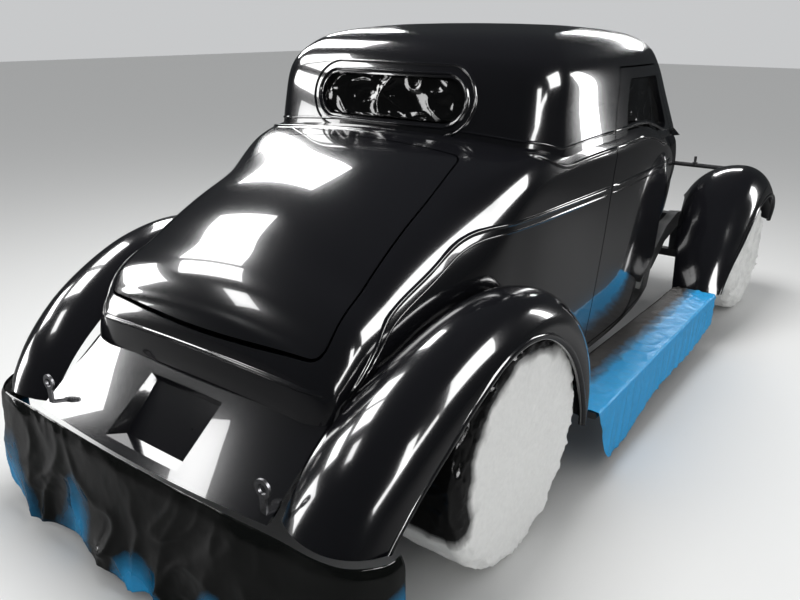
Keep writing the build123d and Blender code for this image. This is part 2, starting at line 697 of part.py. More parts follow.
def fender_face(axle_z, axle_d, angle, r_in, y_in, r_crown, y_crown, r_lip, y_lip):
    """A fender section in the plane through the axle's line at the given angle: two arcs that leave
    the crown level, their concentric inner side, and a round bead at the lip."""
    turn = math.radians(angle)
    plane = Plane(origin=(ahead(axle_d), 0, axle_z), x_dir=(math.cos(turn), 0, math.sin(turn)),
                  z_dir=(-math.sin(turn), 0, math.cos(turn)))
    crown = Vector(r_crown, y_crown)
    crown_inside = Vector(r_crown - FENDER_WALL, y_crown)

    def arcs(r_end, y_end):
        fall = r_crown - r_end
        reach = y_end - y_crown
        radius = (fall * fall + reach * reach) / (2 * fall)
        centre = Vector(r_crown - radius, y_crown)
        end = Vector(r_end, y_end)
        inner_end = end + (centre - end) * (FENDER_WALL / radius)
        heading = Vector(0, math.copysign(1, reach))
        return end, inner_end, TangentArc(crown, end, tangent=heading), TangentArc(
            crown_inside, inner_end, tangent=heading)

    inner, inner_low, arc_in, arc_in_low = arcs(r_in, y_in)
    lip, lip_low, arc_out, arc_out_low = arcs(r_lip, y_lip)
    along = Vector((lip_low - lip).Y, -(lip_low - lip).X).normalized()
    if along.X > 0:
        along = along * -1
    bead = ThreePointArc(lip, (lip + lip_low) * 0.5 + along * LIP_BEAD, lip_low)
    return plane * make_face([arc_in, arc_out, bead, arc_out_low, arc_in_low, Line(inner_low, inner)])


def fender(axle_z, axle_d, sections):
    return loft([fender_face(axle_z, axle_d, *row) for row in sections])


def running_board():
    corners = [(BOARD_REAR, BOARD_INNER), (BOARD_REAR, BOARD_OUTER_REAR),
               (BOARD_FRONT, BOARD_OUTER_FRONT), (BOARD_FRONT, BOARD_INNER)]
    plan = make_face(Polyline(*[(ahead(d), y) for d, y in corners], close=True))
    board = extrude(Pos(0, 0, BOARD_Z) * plan, amount=BOARD_THICK)

    def runs_along_outside(edge):
        way = edge.tangent_at(0.5)
        return edge.center().Y > BOARD_INNER + BOARD_THICK and abs(way.Z) < 0.1 and abs(way.X) > 0.9

    edges = board.edges().filter_by(Axis.X, reverse=True).filter_by(runs_along_outside)
    return fillet(edges, BOARD_EDGE_R)


def profile_across(points, y_from, y_to):
    """A closed outline seen from the side, run across the car."""
    sketch = make_face(Polyline(*[(ahead(d), y_from, z) for d, z in points], close=True))
    return extrude(sketch, amount=y_to - y_from, dir=(0, 1, 0))


def plan_up(points, z_from, z_to):
    """A closed outline seen from above, run upward."""
    sketch = make_face(Polyline(*[(ahead(d), y, z_from) for d, y in points], close=True))
    return extrude(sketch, amount=z_to - z_from, dir=(0, 0, 1))


def frame_rail():
    side = RAIL_SIDE + [(d, z + RAIL_HEIGHT) for d, z in reversed(RAIL_SIDE)]
    rear_d = RAIL_SIDE[0][0]
    half = RAIL_WIDTH / 2
    centre = [(rear_d, RAIL_REAR_Y), (RAIL_TAPER_D, RAIL_REAR_Y), (RAIL_FRONT_D, RAIL_FRONT_Y)]
    plan = [(d, y + half) for d, y in centre] + [(d, y - half) for d, y in reversed(centre)]
    return profile_across(side, *RAIL_SPACE_Y) & plan_up(plan, *RAIL_SPACE_Z)


def rail_low_z(d):
    """Height of a rail's lower edge."""
    for (d0, z0), (d1, z1) in zip(RAIL_SIDE, RAIL_SIDE[1:]):
        if d0 <= d <= d1:
            return z0 + (z1 - z0) * (d - d0) / (d1 - d0)
    return RAIL_SIDE[-1][1]


def rail_centre_y(d):
    """Distance of a rail's middle from the car's centre plane."""
    taper = max(0.0, d - RAIL_TAPER_D) / (RAIL_FRONT_D - RAIL_TAPER_D)
    return RAIL_REAR_Y - taper * (RAIL_REAR_Y - RAIL_FRONT_Y)


def frame(shell):
    """Both rails and the members across them, the front one flush with the back of the shell."""
    rail = frame_rail()
    whole = rail + mirrored(rail)
    for d in CROSS_MEMBERS:
        middle_z = rail_low_z(d) + CROSS_LIFT + CROSS_SIZE / 2
        whole += Pos(ahead(d), 0, middle_z) * Box(CROSS_SIZE, 2 * rail_centre_y(d), CROSS_SIZE)
    return whole - shell


def engine():
    """The engine and gearbox as one plain block, on the member below it."""
    low_z = rail_low_z(ENGINE_MOUNT_D) + CROSS_LIFT + CROSS_SIZE
    return Pos(ahead((ENGINE_REAR + ENGINE_FRONT) / 2), 0, (low_z + ENGINE_HIGH_Z) / 2) * Box(
        ENGINE_FRONT - ENGINE_REAR, 2 * ENGINE_HALF, ENGINE_HIGH_Z - low_z)


def spring_pads(axle_d, axle_z, rail_y, rails):
    """Upright springs, drawn plain, from an axle up to the rails."""
    pads = Part()
    for side in (1, -1):
        pads += Pos(ahead(axle_d), side * rail_y, axle_z) * Cylinder(
            SPRING_R, SPRING_RUN, align=(Align.CENTER, Align.CENTER, Align.MIN))
    cut = pads - rails
    return Part() + [solid for solid in cut.solids() if solid.bounding_box().min.Z < axle_z + SPRING_R]


def floor_pan(hollow):
    """The floor, let into the body's walls, with a round wheelhouse on each side."""
    side = FLOOR_SIDE + [(d + FLOOR_SET_ON * FLOOR_THICK, z + FLOOR_THICK) for d, z in reversed(FLOOR_SIDE)]
    floor = profile_across(side, -FLOOR_HALF, FLOOR_HALF)
    place = Pos(ahead(0), 0, REAR_AXLE_Z)
    inner_y = REAR_ARCH_Y - WHEELHOUSE_GAP
    house = place * along_y(REAR_ARCH_R + WHEELHOUSE_WALL, inner_y - WHEELHOUSE_WALL, FLOOR_HALF)
    arch = rear_arch(inner_y)
    floor = floor - arch - mirrored(arch)
    house = house - arch - place * along_y(AXLE_HOLE_R, BLOCK, FLOOR_HALF + 20)
    low_z = FLOOR_SIDE[-1][1]
    house = house - Pos(ahead(0), 0, low_z) * Box(
        WIDE_BLOCK, WIDE_BLOCK, BLOCK, align=(Align.CENTER, Align.CENTER, Align.MAX))
    return (floor + house + mirrored(house)) & hollow


def hood_solid(inset, drop):
    faces = []
    for share, y0, z0, y1, z1, y2, z2, z3 in HOOD_SECTIONS:
        low_y = y0 - inset - HOOD_SIDE_LEAN * drop
        faces.append(arch_face(HOOD_START_D + share * (SHELL_D - HOOD_START_D), low_y, z0 - drop,
                               y1 - inset, z1, y2 - SHOULDER_SHARE * inset, z2 - inset, z3 - inset))
    return loft(faces)


def hood_left():
    form = hood_solid(0, 0)
    whole = form - hood_solid(HOOD_WALL, HOOD_DROP)
    rear = half_space(ahead(HOOD_REAR_D) + PANEL_GAP, HOOD_REAR_Z, HOOD_SLOPE)
    lean = math.tan(math.radians(SHELL_LEAN_DEG))
    front_x = ahead(SHELL_D) - SHELL_DEPTH / math.cos(math.radians(SHELL_LEAN_DEG)) - PANEL_GAP
    front = half_space(front_x, SHELL_FOOT_Z, -lean)
    left = Pos(0, HOOD_SPLIT / 2, 0) * Box(*HALF_CAR, align=OUTWARD)
    return ((whole & rear) - front & left) + louvres(form)


def louvres(form):
    """The left side's row of louvres: leaning strips of the form's own surface, moved outward."""
    strips = Part()
    low_z = LOUVRE_Z - LOUVRE_LENGTH / 2
    high_z = LOUVRE_Z + LOUVRE_LENGTH / 2
    for index in range(LOUVRE_COUNT):
        d = LOUVRE_FIRST_D + index * LOUVRE_PITCH
        outline = [(d, low_z), (d + LOUVRE_WIDTH, low_z),
                   (d + LOUVRE_WIDTH - LOUVRE_LEAN, high_z), (d - LOUVRE_LEAN, high_z)]
        strips += profile_across(outline, *LOUVRE_SPACE)
    return (Pos(0, LOUVRE_PROUD, 0) * form - form) & strips


def hood_rod(cowl, shell):
    """The rod along the top of the hood that both halves swing on."""
    (d0, z0), (d1, z1) = HOOD_ROD_ENDS
    start = Vector(ahead(d0), 0, z0)
    run = Vector(ahead(d1), 0, z1) - start
    rod = Plane(origin=start, z_dir=run) * Cylinder(
        HOOD_ROD_R, run.length, align=(Align.CENTER, Align.CENTER, Align.MIN))
    rod = rod - cowl - shell
    return max(rod.solids(), key=lambda solid: solid.volume)


def shell_plane():
    lean = math.radians(SHELL_LEAN_DEG)
    foot = (ahead(SHELL_D), 0, SHELL_FOOT_Z)
    return Plane(origin=foot, x_dir=(0, 1, 0), z_dir=(math.cos(lean), 0, math.sin(lean)))


def shield_face(inset):
    """The grille's outline: round crown, round shoulders and sides that run in to a narrow foot."""
    height = SHELL_HEIGHT - inset
    half = SHELL_HALF - inset
    foot = SHELL_FOOT_HALF - SHELL_FOOT_SHARE * inset
    shoulder = Vector(half - SHELL_SHOULDER_IN, height - SHELL_SHOULDER_DROP + SHELL_SHOULDER_SHARE * inset)
    side = Vector(half, height - SHELL_SIDE_DROP)
    low = Vector(foot, inset)
    flip = lambda p: Vector(-p.X, p.Y)
    crown = ThreePointArc(flip(shoulder), (0, height), shoulder)
    corner = TangentArc(shoulder, side, tangent=crown % 1)
    flank = TangentArc(side, low, tangent=corner % 1)
    over = lambda edge: mirror(edge, about=Plane.YZ)
    bottom = ThreePointArc(low, (0, inset - SHELL_FOOT_BOW), flip(low))
    return make_face([crown, corner, flank, bottom, over(flank), over(corner)])


def grille():
    plane = shell_plane()
    rim = extrude(plane * (shield_face(0) - shield_face(SHELL_RIM)), amount=-SHELL_DEPTH)
    opening = shield_face(SHELL_RIM + BAR_CLEAR)
    slab = extrude(plane * Pos(0, 0, -BAR_SETBACK) * opening, amount=-BAR_DEPTH)
    count = int((SHELL_HALF - SHELL_RIM) / BAR_PITCH)
    bars = []
    for index in range(-count, count + 1):
        bars.append(plane * Pos(index * BAR_PITCH, SHELL_HEIGHT / 2, -BAR_SETBACK - BAR_DEPTH / 2) * Box(
            BAR_WIDTH, SHELL_HEIGHT, BAR_DEPTH))
    for height in TIE_HEIGHTS:
        bars.append(plane * Pos(0, height, -BAR_SETBACK - BAR_DEPTH + TIE_SIZE / 2) * Box(
            2 * SHELL_HALF, TIE_SIZE, TIE_SIZE))
    bars = max(((Part() + bars) & slab).solids(), key=lambda solid: solid.volume)
    core_w = -BAR_SETBACK - BAR_DEPTH - RADIATOR_SETBACK
    core_face = plane * Pos(0, 0, core_w) * shield_face(SHELL_RIM + RADIATOR_CLEAR)
    return rim, bars, extrude(core_face, amount=-RADIATOR_DEPTH)


def front_axle(rails):
    z = FRONT_AXLE_Z
    low = z - BEAM_DROP
    points = [(-BEAM_STEP_OUT, z), (-BEAM_STEP_IN, low), (BEAM_STEP_IN, low), (BEAM_STEP_OUT, z)]
    ends = [(-KINGPIN_Y, z)] + points + [(KINGPIN_Y, z)]
    outline = [(y, h + BEAM_HALF) for y, h in ends] + [(y, h - BEAM_HALF) for y, h in reversed(ends)]
    x = ahead(WHEELBASE)
    beam = extrude(make_face(Polyline(*[(x - BEAM_WIDTH / 2, y, h) for y, h in outline], close=True)),
                   amount=BEAM_WIDTH, dir=(1, 0, 0))
    for side in (1, -1):
        place = Pos(x, side * KINGPIN_Y, z)
        beam = beam - place * Cylinder(KINGPIN_BOSS_R, 200)
        beam = beam + place * Cylinder(KINGPIN_BOSS_R, KINGPIN_BOSS_HEIGHT)
        beam = beam - place * Cylinder(KINGPIN_R + HUB_CLEAR, KINGPIN_BOSS_HEIGHT + 20)
    return beam + spring_pads(WHEELBASE, low, rail_centre_y(WHEELBASE), rails)


def along_y(radius, y_from, y_to):
    """A round bar across the car, at the origin."""
    return Pos(0, (y_from + y_to) / 2, 0) * Rot(90, 0, 0) * Cylinder(radius, abs(y_to - y_from))


def knuckle_left():
    place = Pos(ahead(WHEELBASE), 0, FRONT_AXLE_Z)
    ear_z = KINGPIN_BOSS_HEIGHT / 2 + KNUCKLE_GAP + KNUCKLE_EAR / 2
    total = 2 * ear_z + KNUCKLE_EAR
    body = Pos(0, KINGPIN_Y, 0) * Cylinder(KINGPIN_R, total)
    for side in (1, -1):
        body += Pos(0, KINGPIN_Y, side * ear_z) * Cylinder(KNUCKLE_EAR_R, KNUCKLE_EAR)
        body += Pos(0, KINGPIN_Y, side * ear_z) * Box(
            2 * KNUCKLE_EAR_R, KNUCKLE_BLOCK_Y + KNUCKLE_BLOCK - KINGPIN_Y, KNUCKLE_EAR, align=OUTWARD)
    body += Pos(0, KNUCKLE_BLOCK_Y, 0) * Box(2 * KNUCKLE_EAR_R, KNUCKLE_BLOCK, total, align=OUTWARD)
    body += along_y(FRONT_SPINDLE_R, KNUCKLE_BLOCK_Y + SPINDLE_SEAT, FRONT_WHEEL_Y + HUB_HALF)
    return place * body


def rear_axle(rails):
    body = along_y(AXLE_TUBE_R, -REAR_TUBE_END, REAR_TUBE_END)
    body += along_y(DIFF_R, -DIFF_LENGTH / 2, DIFF_LENGTH / 2)
    circles = [edge for edge in body.edges() if edge.geom_type == GeomType.CIRCLE]
    body = fillet([edge for edge in circles if abs(edge.radius - DIFF_R) < 1], DIFF_EDGE_R)
    body += along_y(REAR_SPINDLE_R, -(REAR_WHEEL_Y + HUB_HALF), REAR_WHEEL_Y + HUB_HALF)
    return Pos(ahead(0), 0, REAR_AXLE_Z) * body + spring_pads(0, REAR_AXLE_Z, RAIL_REAR_Y, rails)


def spun(points, place):
    """A profile of radius and distance across the car, turned about the wheel's axis."""
    face = make_face(Polyline(*[(r, y, 0) for r, y in points], close=True))
    return place * revolve(face, axis=Axis.Y)


def wheel(d, y, z, tyre_r, width, spindle_r):
    place = Pos(ahead(d), y, z)
    half = width / 2
    rim_half = half - BEAD_SET_IN
    bead = RIM_R
    bead_end = (bead, rim_half)
    bulge = ((bead + tyre_r) / 2 - BULGE_SET_IN, half)
    wall_end = (tyre_r - TYRE_WALL_END[0], half - TYRE_WALL_END[1])
    shoulder = (tyre_r - TYRE_SHOULDER[0], half - TYRE_SHOULDER[1])
    tread_end = (tyre_r, half - TYRE_TREAD_IN)
    flip = lambda spot: (spot[0], -spot[1])
    outline = [
        Line(flip(bead_end), bead_end),
        ThreePointArc(bead_end, bulge, wall_end),
        ThreePointArc(wall_end, shoulder, tread_end),
        Line(tread_end, flip(tread_end)),
        ThreePointArc(flip(tread_end), flip(shoulder), flip(wall_end)),
        ThreePointArc(flip(wall_end), flip(bulge), flip(bead_end)),
    ]
    tyre = place * revolve(make_face(outline), axis=Axis.Y)
    hub_bore = spindle_r + HUB_CLEAR
    rim = spun([
        (bead, -rim_half), (bead, rim_half), (bead - RIM_WALL, rim_half), (bead - RIM_WALL, RIM_DISC),
        (HUB_R, RIM_DISC + RIM_DISH), (HUB_R, HUB_HALF), (hub_bore, HUB_HALF), (hub_bore, -HUB_HALF),
        (HUB_R, -HUB_HALF), (HUB_R, RIM_DISH), (bead - RIM_WALL, 0), (bead - RIM_WALL, -rim_half)], place)
    inner_r = tyre_r + COVER_GAP
    outer_r = inner_r + COVER_THICK
    face = half + COVER_GAP
    back = -half - COVER_GAP
    cover = spun([
        (0, face), (inner_r, face), (inner_r, back), (tyre_r - COVER_RETURN, back),
        (tyre_r - COVER_RETURN, back - COVER_THICK), (outer_r, back - COVER_THICK),
        (outer_r, face + COVER_THICK - COVER_BEVEL), (outer_r - COVER_BEVEL, face + COVER_THICK),
        (0, face + COVER_THICK)], place)
    return tyre, rim, cover


def lamp_bar(fenders):
    place = Pos(ahead(LAMP_BAR_D), 0, LAMP_BAR_Z)
    bar = place * along_y(LAMP_BAR_R, -LAMP_BAR_HALF, LAMP_BAR_HALF)
    for side in (1, -1):
        for radius, low, high in LAMP_STUD:
            bar += place * Pos(0, side * LAMP_STUD_Y, low) * Cylinder(
                radius, high - low, align=(Align.CENTER, Align.CENTER, Align.MIN))
    for piece in fenders:
        bar = bar - piece
    return max(bar.solids(), key=lambda solid: solid.volume)


def tail_bracket(below):
    place = Pos(ahead(TAIL_BRACKET_D), TAIL_BRACKET_Y, TAIL_BRACKET_Z)
    ring = place * Rot(0, 90, 0) * Cylinder(TAIL_RING_R, TAIL_PLATE)
    stalk = place * Box(
        TAIL_PLATE, TAIL_STALK_WIDTH, TAIL_STALK_RUN, align=(Align.CENTER, Align.CENTER, Align.MAX))
    bracket = ring + stalk
    bracket = bracket - place * Rot(0, 90, 0) * Cylinder(TAIL_HOLE_R, HOLE_RUN)
    bracket = bracket - below
    return max(bracket.solids(), key=lambda solid: solid.center().Z)


def board_film():
    """Film over the running board, with a hem that drops to a point at the rear."""
    lift = BOARD_Z + BOARD_THICK + FILM_GAP
    top_z = lift + FILM
    rear = BOARD_REAR + FILM_SET_IN
    front = BOARD_FRONT - FILM_SET_IN
    inner = BOARD_INNER + FILM_GAP
    near = (BOARD_OUTER_REAR + FILM_GAP, BOARD_OUTER_FRONT + FILM_GAP)
    far = (near[0] + FILM, near[1] + FILM)
    top = plan_up([(rear, inner), (rear, far[0]), (front, far[1]), (front, inner)], lift, top_z)
    hang = plan_up([(rear, near[0]), (rear, far[0]), (front, far[1]), (front, near[1])], FILM_LOW_Z, top_z)
    ahead_d = BOARD_FRONT + HEM_MARGIN
    behind_d = BOARD_REAR - HEM_MARGIN
    above = lift + HEM_MARGIN
    hem = [(ahead_d, above), (ahead_d, BOARD_FILM_HEM[0][1])] + BOARD_FILM_HEM + [
        (behind_d, BOARD_FILM_HEM[-1][1]), (behind_d, above)]
    return top + (hang & profile_across(hem, *FILM_SPACE))


def tail_skirt():
    """Film that hangs below the pan and the fender tails, down to an uneven hem."""
    outline = SKIRT_LINE + [(d, -y) for d, y in reversed(SKIRT_LINE)]
    face = make_face(Polyline(*[(ahead(d), y, 0) for d, y in outline], close=True))
    ring = face - offset(face, amount=-FILM, kind=Kind.INTERSECTION)
    band = extrude(ring, amount=SKIRT_TOP_Z)
    front = ahead(SKIRT_LINE[0][0]) - FILM - 1
    band = band - Pos(front, 0, 0) * Box(200, 3000, 2000, align=(Align.MIN, Align.CENTER, Align.CENTER))
    corners = SKIRT_HEM + [(SKIRT_HEM[-1][0], SKIRT_HEM_TOP), (SKIRT_HEM[0][0], SKIRT_HEM_TOP)]
    hem = make_face(Polyline(*[(0, y, z) for y, z in corners], close=True))
    return band & extrude(hem, amount=4000, both=True, dir=(1, 0, 0))


def rear_window_film():
    low = Vector(ahead(ROOF_SECTIONS[0][1]) + REAR_FILM_DEPTH, 0, BELT_Z)
    lean = math.degrees(math.atan2(REAR_WALL_RUN, REAR_WALL_RISE))
    slab = Pos(low) * Rot(0, lean, 0) * Box(WINDOW_FILM, *REAR_FILM_SLAB)
    return slab & oval_prism(-WINDOW_FILM_GAP)


def screen_film():
    low = ROOF_SECTIONS[0]
    high = ROOF_SECTIONS[2]
    lean = math.degrees(math.atan2(low[5] - high[5], high[0] - low[0]))
    middle_z = (SCREEN_LOW_Z + SCREEN_HIGH_Z) / 2
    middle_d = low[5] - (low[5] - high[5]) * (middle_z - low[0]) / (high[0] - low[0])
    place = Pos(ahead(middle_d) - SCREEN_FILM_DEPTH, 0, middle_z)
    slab = place * Rot(0, -lean, 0) * Box(WINDOW_FILM, *SCREEN_FILM_SLAB)
    return slab & screen_prism(WINDOW_FILM_GAP)


os.makedirs("parts", exist_ok=True)
body_shell, roof, trunk_lid, door_left, door_film, body_form, hollow = cabin_shells()
save(body_shell, "body_shell")
save(roof, "roof")
save(trunk_lid, "trunk_lid")
save_pair(door_left, "door")
save_pair(door_film, "door_window_film")
pan = roll_pan()
save(pan, "roll_pan")
rear_fender = fender(REAR_AXLE_Z, 0, REAR_FENDER_SECTIONS) - body_form
rear_fender = max(rear_fender.solids(), key=lambda solid: solid.volume)
front_fender = fender(FRONT_AXLE_Z, WHEELBASE, FRONT_FENDER_SECTIONS)
save_pair(rear_fender, "rear_fender")
save_pair(front_fender, "front_fender")
save_pair(running_board(), "running_board")
rim_shell, bars, core = grille()
save(rim_shell, "grille_shell")
save(bars, "grille_bars")
save(core, "radiator")
shell_form = extrude(shell_plane() * shield_face(0), amount=-SHELL_DEPTH)
rails = frame(shell_form)
save(rails, "frame")
save(floor_pan(hollow), "floor_pan")
save_pair(hood_left(), "hood")
save(hood_rod(body_form, shell_form), "hood_rod")
save(engine(), "engine_block")
save(front_axle(rails), "front_axle")
save(rear_axle(rails), "rear_axle")
save_pair(knuckle_left(), "knuckle")
for name, d, y, z, radius, width, spindle in (
        ("rear", 0, REAR_WHEEL_Y, REAR_AXLE_Z, REAR_TYRE_R, REAR_TYRE_WIDTH, REAR_SPINDLE_R),
        ("front", WHEELBASE, FRONT_WHEEL_Y, FRONT_AXLE_Z, FRONT_TYRE_R, FRONT_TYRE_WIDTH, FRONT_SPINDLE_R)):
    tyre, rim, cover = wheel(d, y, z, radius, width, spindle)
    save_pair(tyre, name + "_tyre")
    save_pair(rim, name + "_rim")
    save_pair(cover, name + "_wheel_cover")
save(lamp_bar([front_fender, mirrored(front_fender)]), "lamp_bar")
bracket = tail_bracket(rear_fender + pan)
save_pair(bracket, "tail_bracket")
save_pair(board_film(), "board_film")
save(tail_skirt(), "tail_skirt")
save(rear_window_film(), "rear_window_film")
save(screen_film(), "windscreen_film")
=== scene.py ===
import json
import math

import bmesh
import bpy
from mathutils import Matrix, Quaternion, Vector, noise
from mathutils.bvhtree import BVHTree


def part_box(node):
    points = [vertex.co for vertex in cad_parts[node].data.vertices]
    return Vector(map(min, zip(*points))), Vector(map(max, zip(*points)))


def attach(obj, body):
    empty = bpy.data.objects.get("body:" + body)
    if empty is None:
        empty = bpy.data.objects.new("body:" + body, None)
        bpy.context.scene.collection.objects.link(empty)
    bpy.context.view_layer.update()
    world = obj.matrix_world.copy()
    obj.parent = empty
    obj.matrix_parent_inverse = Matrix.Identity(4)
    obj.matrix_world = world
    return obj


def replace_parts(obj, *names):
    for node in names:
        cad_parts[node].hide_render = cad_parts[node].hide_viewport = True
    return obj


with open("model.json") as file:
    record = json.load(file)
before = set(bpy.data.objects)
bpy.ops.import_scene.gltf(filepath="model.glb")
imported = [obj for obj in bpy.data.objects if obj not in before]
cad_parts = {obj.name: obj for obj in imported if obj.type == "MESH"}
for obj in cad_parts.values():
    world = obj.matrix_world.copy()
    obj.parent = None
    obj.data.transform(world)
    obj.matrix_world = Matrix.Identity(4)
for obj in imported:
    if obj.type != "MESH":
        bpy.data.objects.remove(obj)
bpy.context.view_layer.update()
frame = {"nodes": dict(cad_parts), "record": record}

# Places along the car are in millimetres ahead of the rear axle, as "d", widths and heights in
# millimetres too. place() turns them into metres in the frame.
rear_low, rear_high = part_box("rear_tyre_left")
REAR_AXLE_X = (rear_low.x + rear_high.x) / 2
REAR_AXLE_Z = (rear_low.z + rear_high.z) / 2
front_low, front_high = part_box("front_tyre_left")
FRONT_AXLE_X = (front_low.x + front_high.x) / 2
FRONT_AXLE_Z = (front_low.z + front_high.z) / 2
MM = 0.001
SIDES = (("left", 1), ("right", -1))

# The forms of the panels, as in the part's own tables. Body sections hold d, then width and height
# of the sill, the side and the shoulder, and the height of the top.
BODY_SECTIONS = [
    (-558, 440, 430, 476, 530, 390, 606, 628),
    (-545, 462, 425, 506, 570, 405, 690, 716),
    (-527, 484, 420, 527, 615, 425, 736, 770),
    (-493, 502, 415, 540, 665, 445, 785, 824),
    (-300, 540, 398, 570, 745, 440, 925, 978),
    (-120, 560, 390, 590, 805, 430, 1025, 1082),
    (80, 575, 366, 612, 870, 430, 1110, 1166),
    (320, 588, 338, 642, 1076, 545, 1196, 1240),
    (600, 597, 322, 656, 1130, 565, 1244, 1300),
    (950, 602, 320, 666, 1140, 575, 1256, 1314),
    (1350, 592, 322, 652, 1130, 562, 1246, 1302),
    (1650, 565, 328, 618, 1060, 530, 1172, 1206),
    (1910, 522, 342, 558, 950, 456, 1070, 1112),
]

# Cabin sections hold the height, then d, bulge and half width of the rear wall, the corner's chord,
# and d and half width of the front
ROOF_SECTIONS = [
    (1130, 350, 46, 507, 207, 1794, 600),
    (1150, 352, 46, 506, 206, 1782, 598),
    (1300, 370, 45, 500, 190, 1704, 570),
    (1440, 405, 42, 486, 190, 1625, 545),
    (1520, 465, 40, 440, 180, 1575, 505),
    (1570, 570, 35, 370, 160, 1470, 425),
    (1596, 760, 24, 250, 120, 1270, 285),
    (1604, 900, 12, 120, 66, 1130, 140),
    (1606, 985, 3, 24, 14, 1035, 28),
]
CORNER_SPLAY_DEG = 4.0

# The door and its window seen from the side, as (d, height)
DOOR_OUTLINE = [
    (936, 352), (930, 1070), (940, 1200), (976, 1340), (1012, 1452),
    (1530, 1444), (1604, 1330), (1690, 1160), (1712, 1000), (1730, 700), (1735, 352),
]
DOOR_WINDOW = [(1060, 1172), (1078, 1300), (1108, 1410), (1512, 1402), (1560, 1310), (1622, 1180)]
DOOR_SLANT = 0.22
DOOR_MID_Y = 640.0
DOOR_CORNER_R = 26.0
DOOR_WINDOW_R = 30.0

# The deck lid's edges, as (d, half width)
LID_FRONT = (262, 402)
LID_REAR = (-505, 474)
LID_CORNER_R = 42.0
LID_REAR_BOW = 26.0

HOOD_REAR_D = 1852.0
HOOD_REAR_Z = 592.0
HOOD_SLOPE = -0.10
DECK_LOW_Z = 660.0
DECK_FRONT_D = 400.0
DOOR_JOIN_Z = 1138.0
PANEL_GAP = 6.0
SKIN_WALL = 20.0
DOOR_WALL = 30.0
CABIN_WALL = 26.0
REAR_WINDOW_Z = 1356.0
REAR_WINDOW_HALF = 320.0
REAR_WINDOW_R = 75.0

# The windscreen: half width, lower and upper edge, corner radius
SCREEN = (478.0, 1186.0, 1418.0, 34.0)
REAR_WALL_FRONT_D = 600.0
SCREEN_REAR_D = 1450.0
REAR_ARCH_R = 402.0
ARCH_INNER_Y = 400.0
CABIN_LAP = 14.0
CABIN_FOOT_LOW_Z = 1146.0
CREASE_DEG = 35.0
FENDER_CREASE_DEG = 50.0


def clamped(value):
    return min(1.0, max(0.0, value))


def place(d, y, z):
    return Vector((REAR_AXLE_X + d * MM, y * MM, z * MM))


def spot_of(p):
    """The reverse of place()."""
    return (p.x - REAR_AXLE_X) / MM, p.y / MM, p.z / MM


# Materials

def material(name):
    made = bpy.data.materials.new(name)
    made.use_nodes = True
    tree = made.node_tree
    return made, tree, tree.nodes["Principled BSDF"]


def add(tree, kind, **values):
    made = tree.nodes.new(kind)
    for key, value in values.items():
        if key in made.inputs:
            made.inputs[key].default_value = value
        else:
            setattr(made, key, value)
    return made


def noise_of(tree, scale, detail=3.0, roughness=0.5, distortion=0.0):
    coordinates = add(tree, "ShaderNodeTexCoord")
    texture = add(tree, "ShaderNodeTexNoise", Scale=scale, Detail=detail, Roughness=roughness,
                  Distortion=distortion)
    tree.links.new(coordinates.outputs["Object"], texture.inputs["Vector"])
    return texture.outputs["Fac"]


def ramp(tree, source, stops):
    made = add(tree, "ShaderNodeValToRGB")
    elements = made.color_ramp.elements
    for index, (position, colour) in enumerate(stops):
        element = elements[index] if index < 2 else elements.new(position)
        element.position = position
        element.color = (*colour, 1)
    tree.links.new(source, made.inputs["Fac"])
    return made.outputs["Color"]


def bump(tree, shader, source, strength, distance, under=None):
    made = add(tree, "ShaderNodeBump", Strength=strength, Distance=distance)
    tree.links.new(source, made.inputs["Height"])
    if under is not None:
        tree.links.new(under, made.inputs["Normal"])
    tree.links.new(made.outputs["Normal"], shader.inputs["Normal"])
    return made.outputs["Normal"]


def paint_material():
    made, tree, shader = material("gloss_black_paint")
    shader.inputs["Base Color"].default_value = (0.006, 0.006, 0.0075, 1)
    shader.inputs["Roughness"].default_value = 0.16
    shader.inputs["Coat Weight"].default_value = 1.0
    shader.inputs["Coat Roughness"].default_value = 0.02
    shader.inputs["Coat IOR"].default_value = 1.5
    bump(tree, shader, noise_of(tree, 160, 2), 0.05, 0.0006)
    return made


def plain_material(name, colour, roughness, metallic=0.0, scale=60.0, spread=0.25, depth=0.0006):
    made, tree, shader = material(name)
    shader.inputs["Roughness"].default_value = roughness
    shader.inputs["Metallic"].default_value = metallic
    low = tuple(value * (1 - spread) for value in colour)
    high = tuple(min(1, value * (1 + spread)) for value in colour)
    source = noise_of(tree, scale, 5, 0.6)
    tree.links.new(ramp(tree, source, [(0.3, low), (0.7, high)]), shader.inputs["Base Color"])
    bump(tree, shader, noise_of(tree, scale * 3, 3), 0.3, depth)
    return made


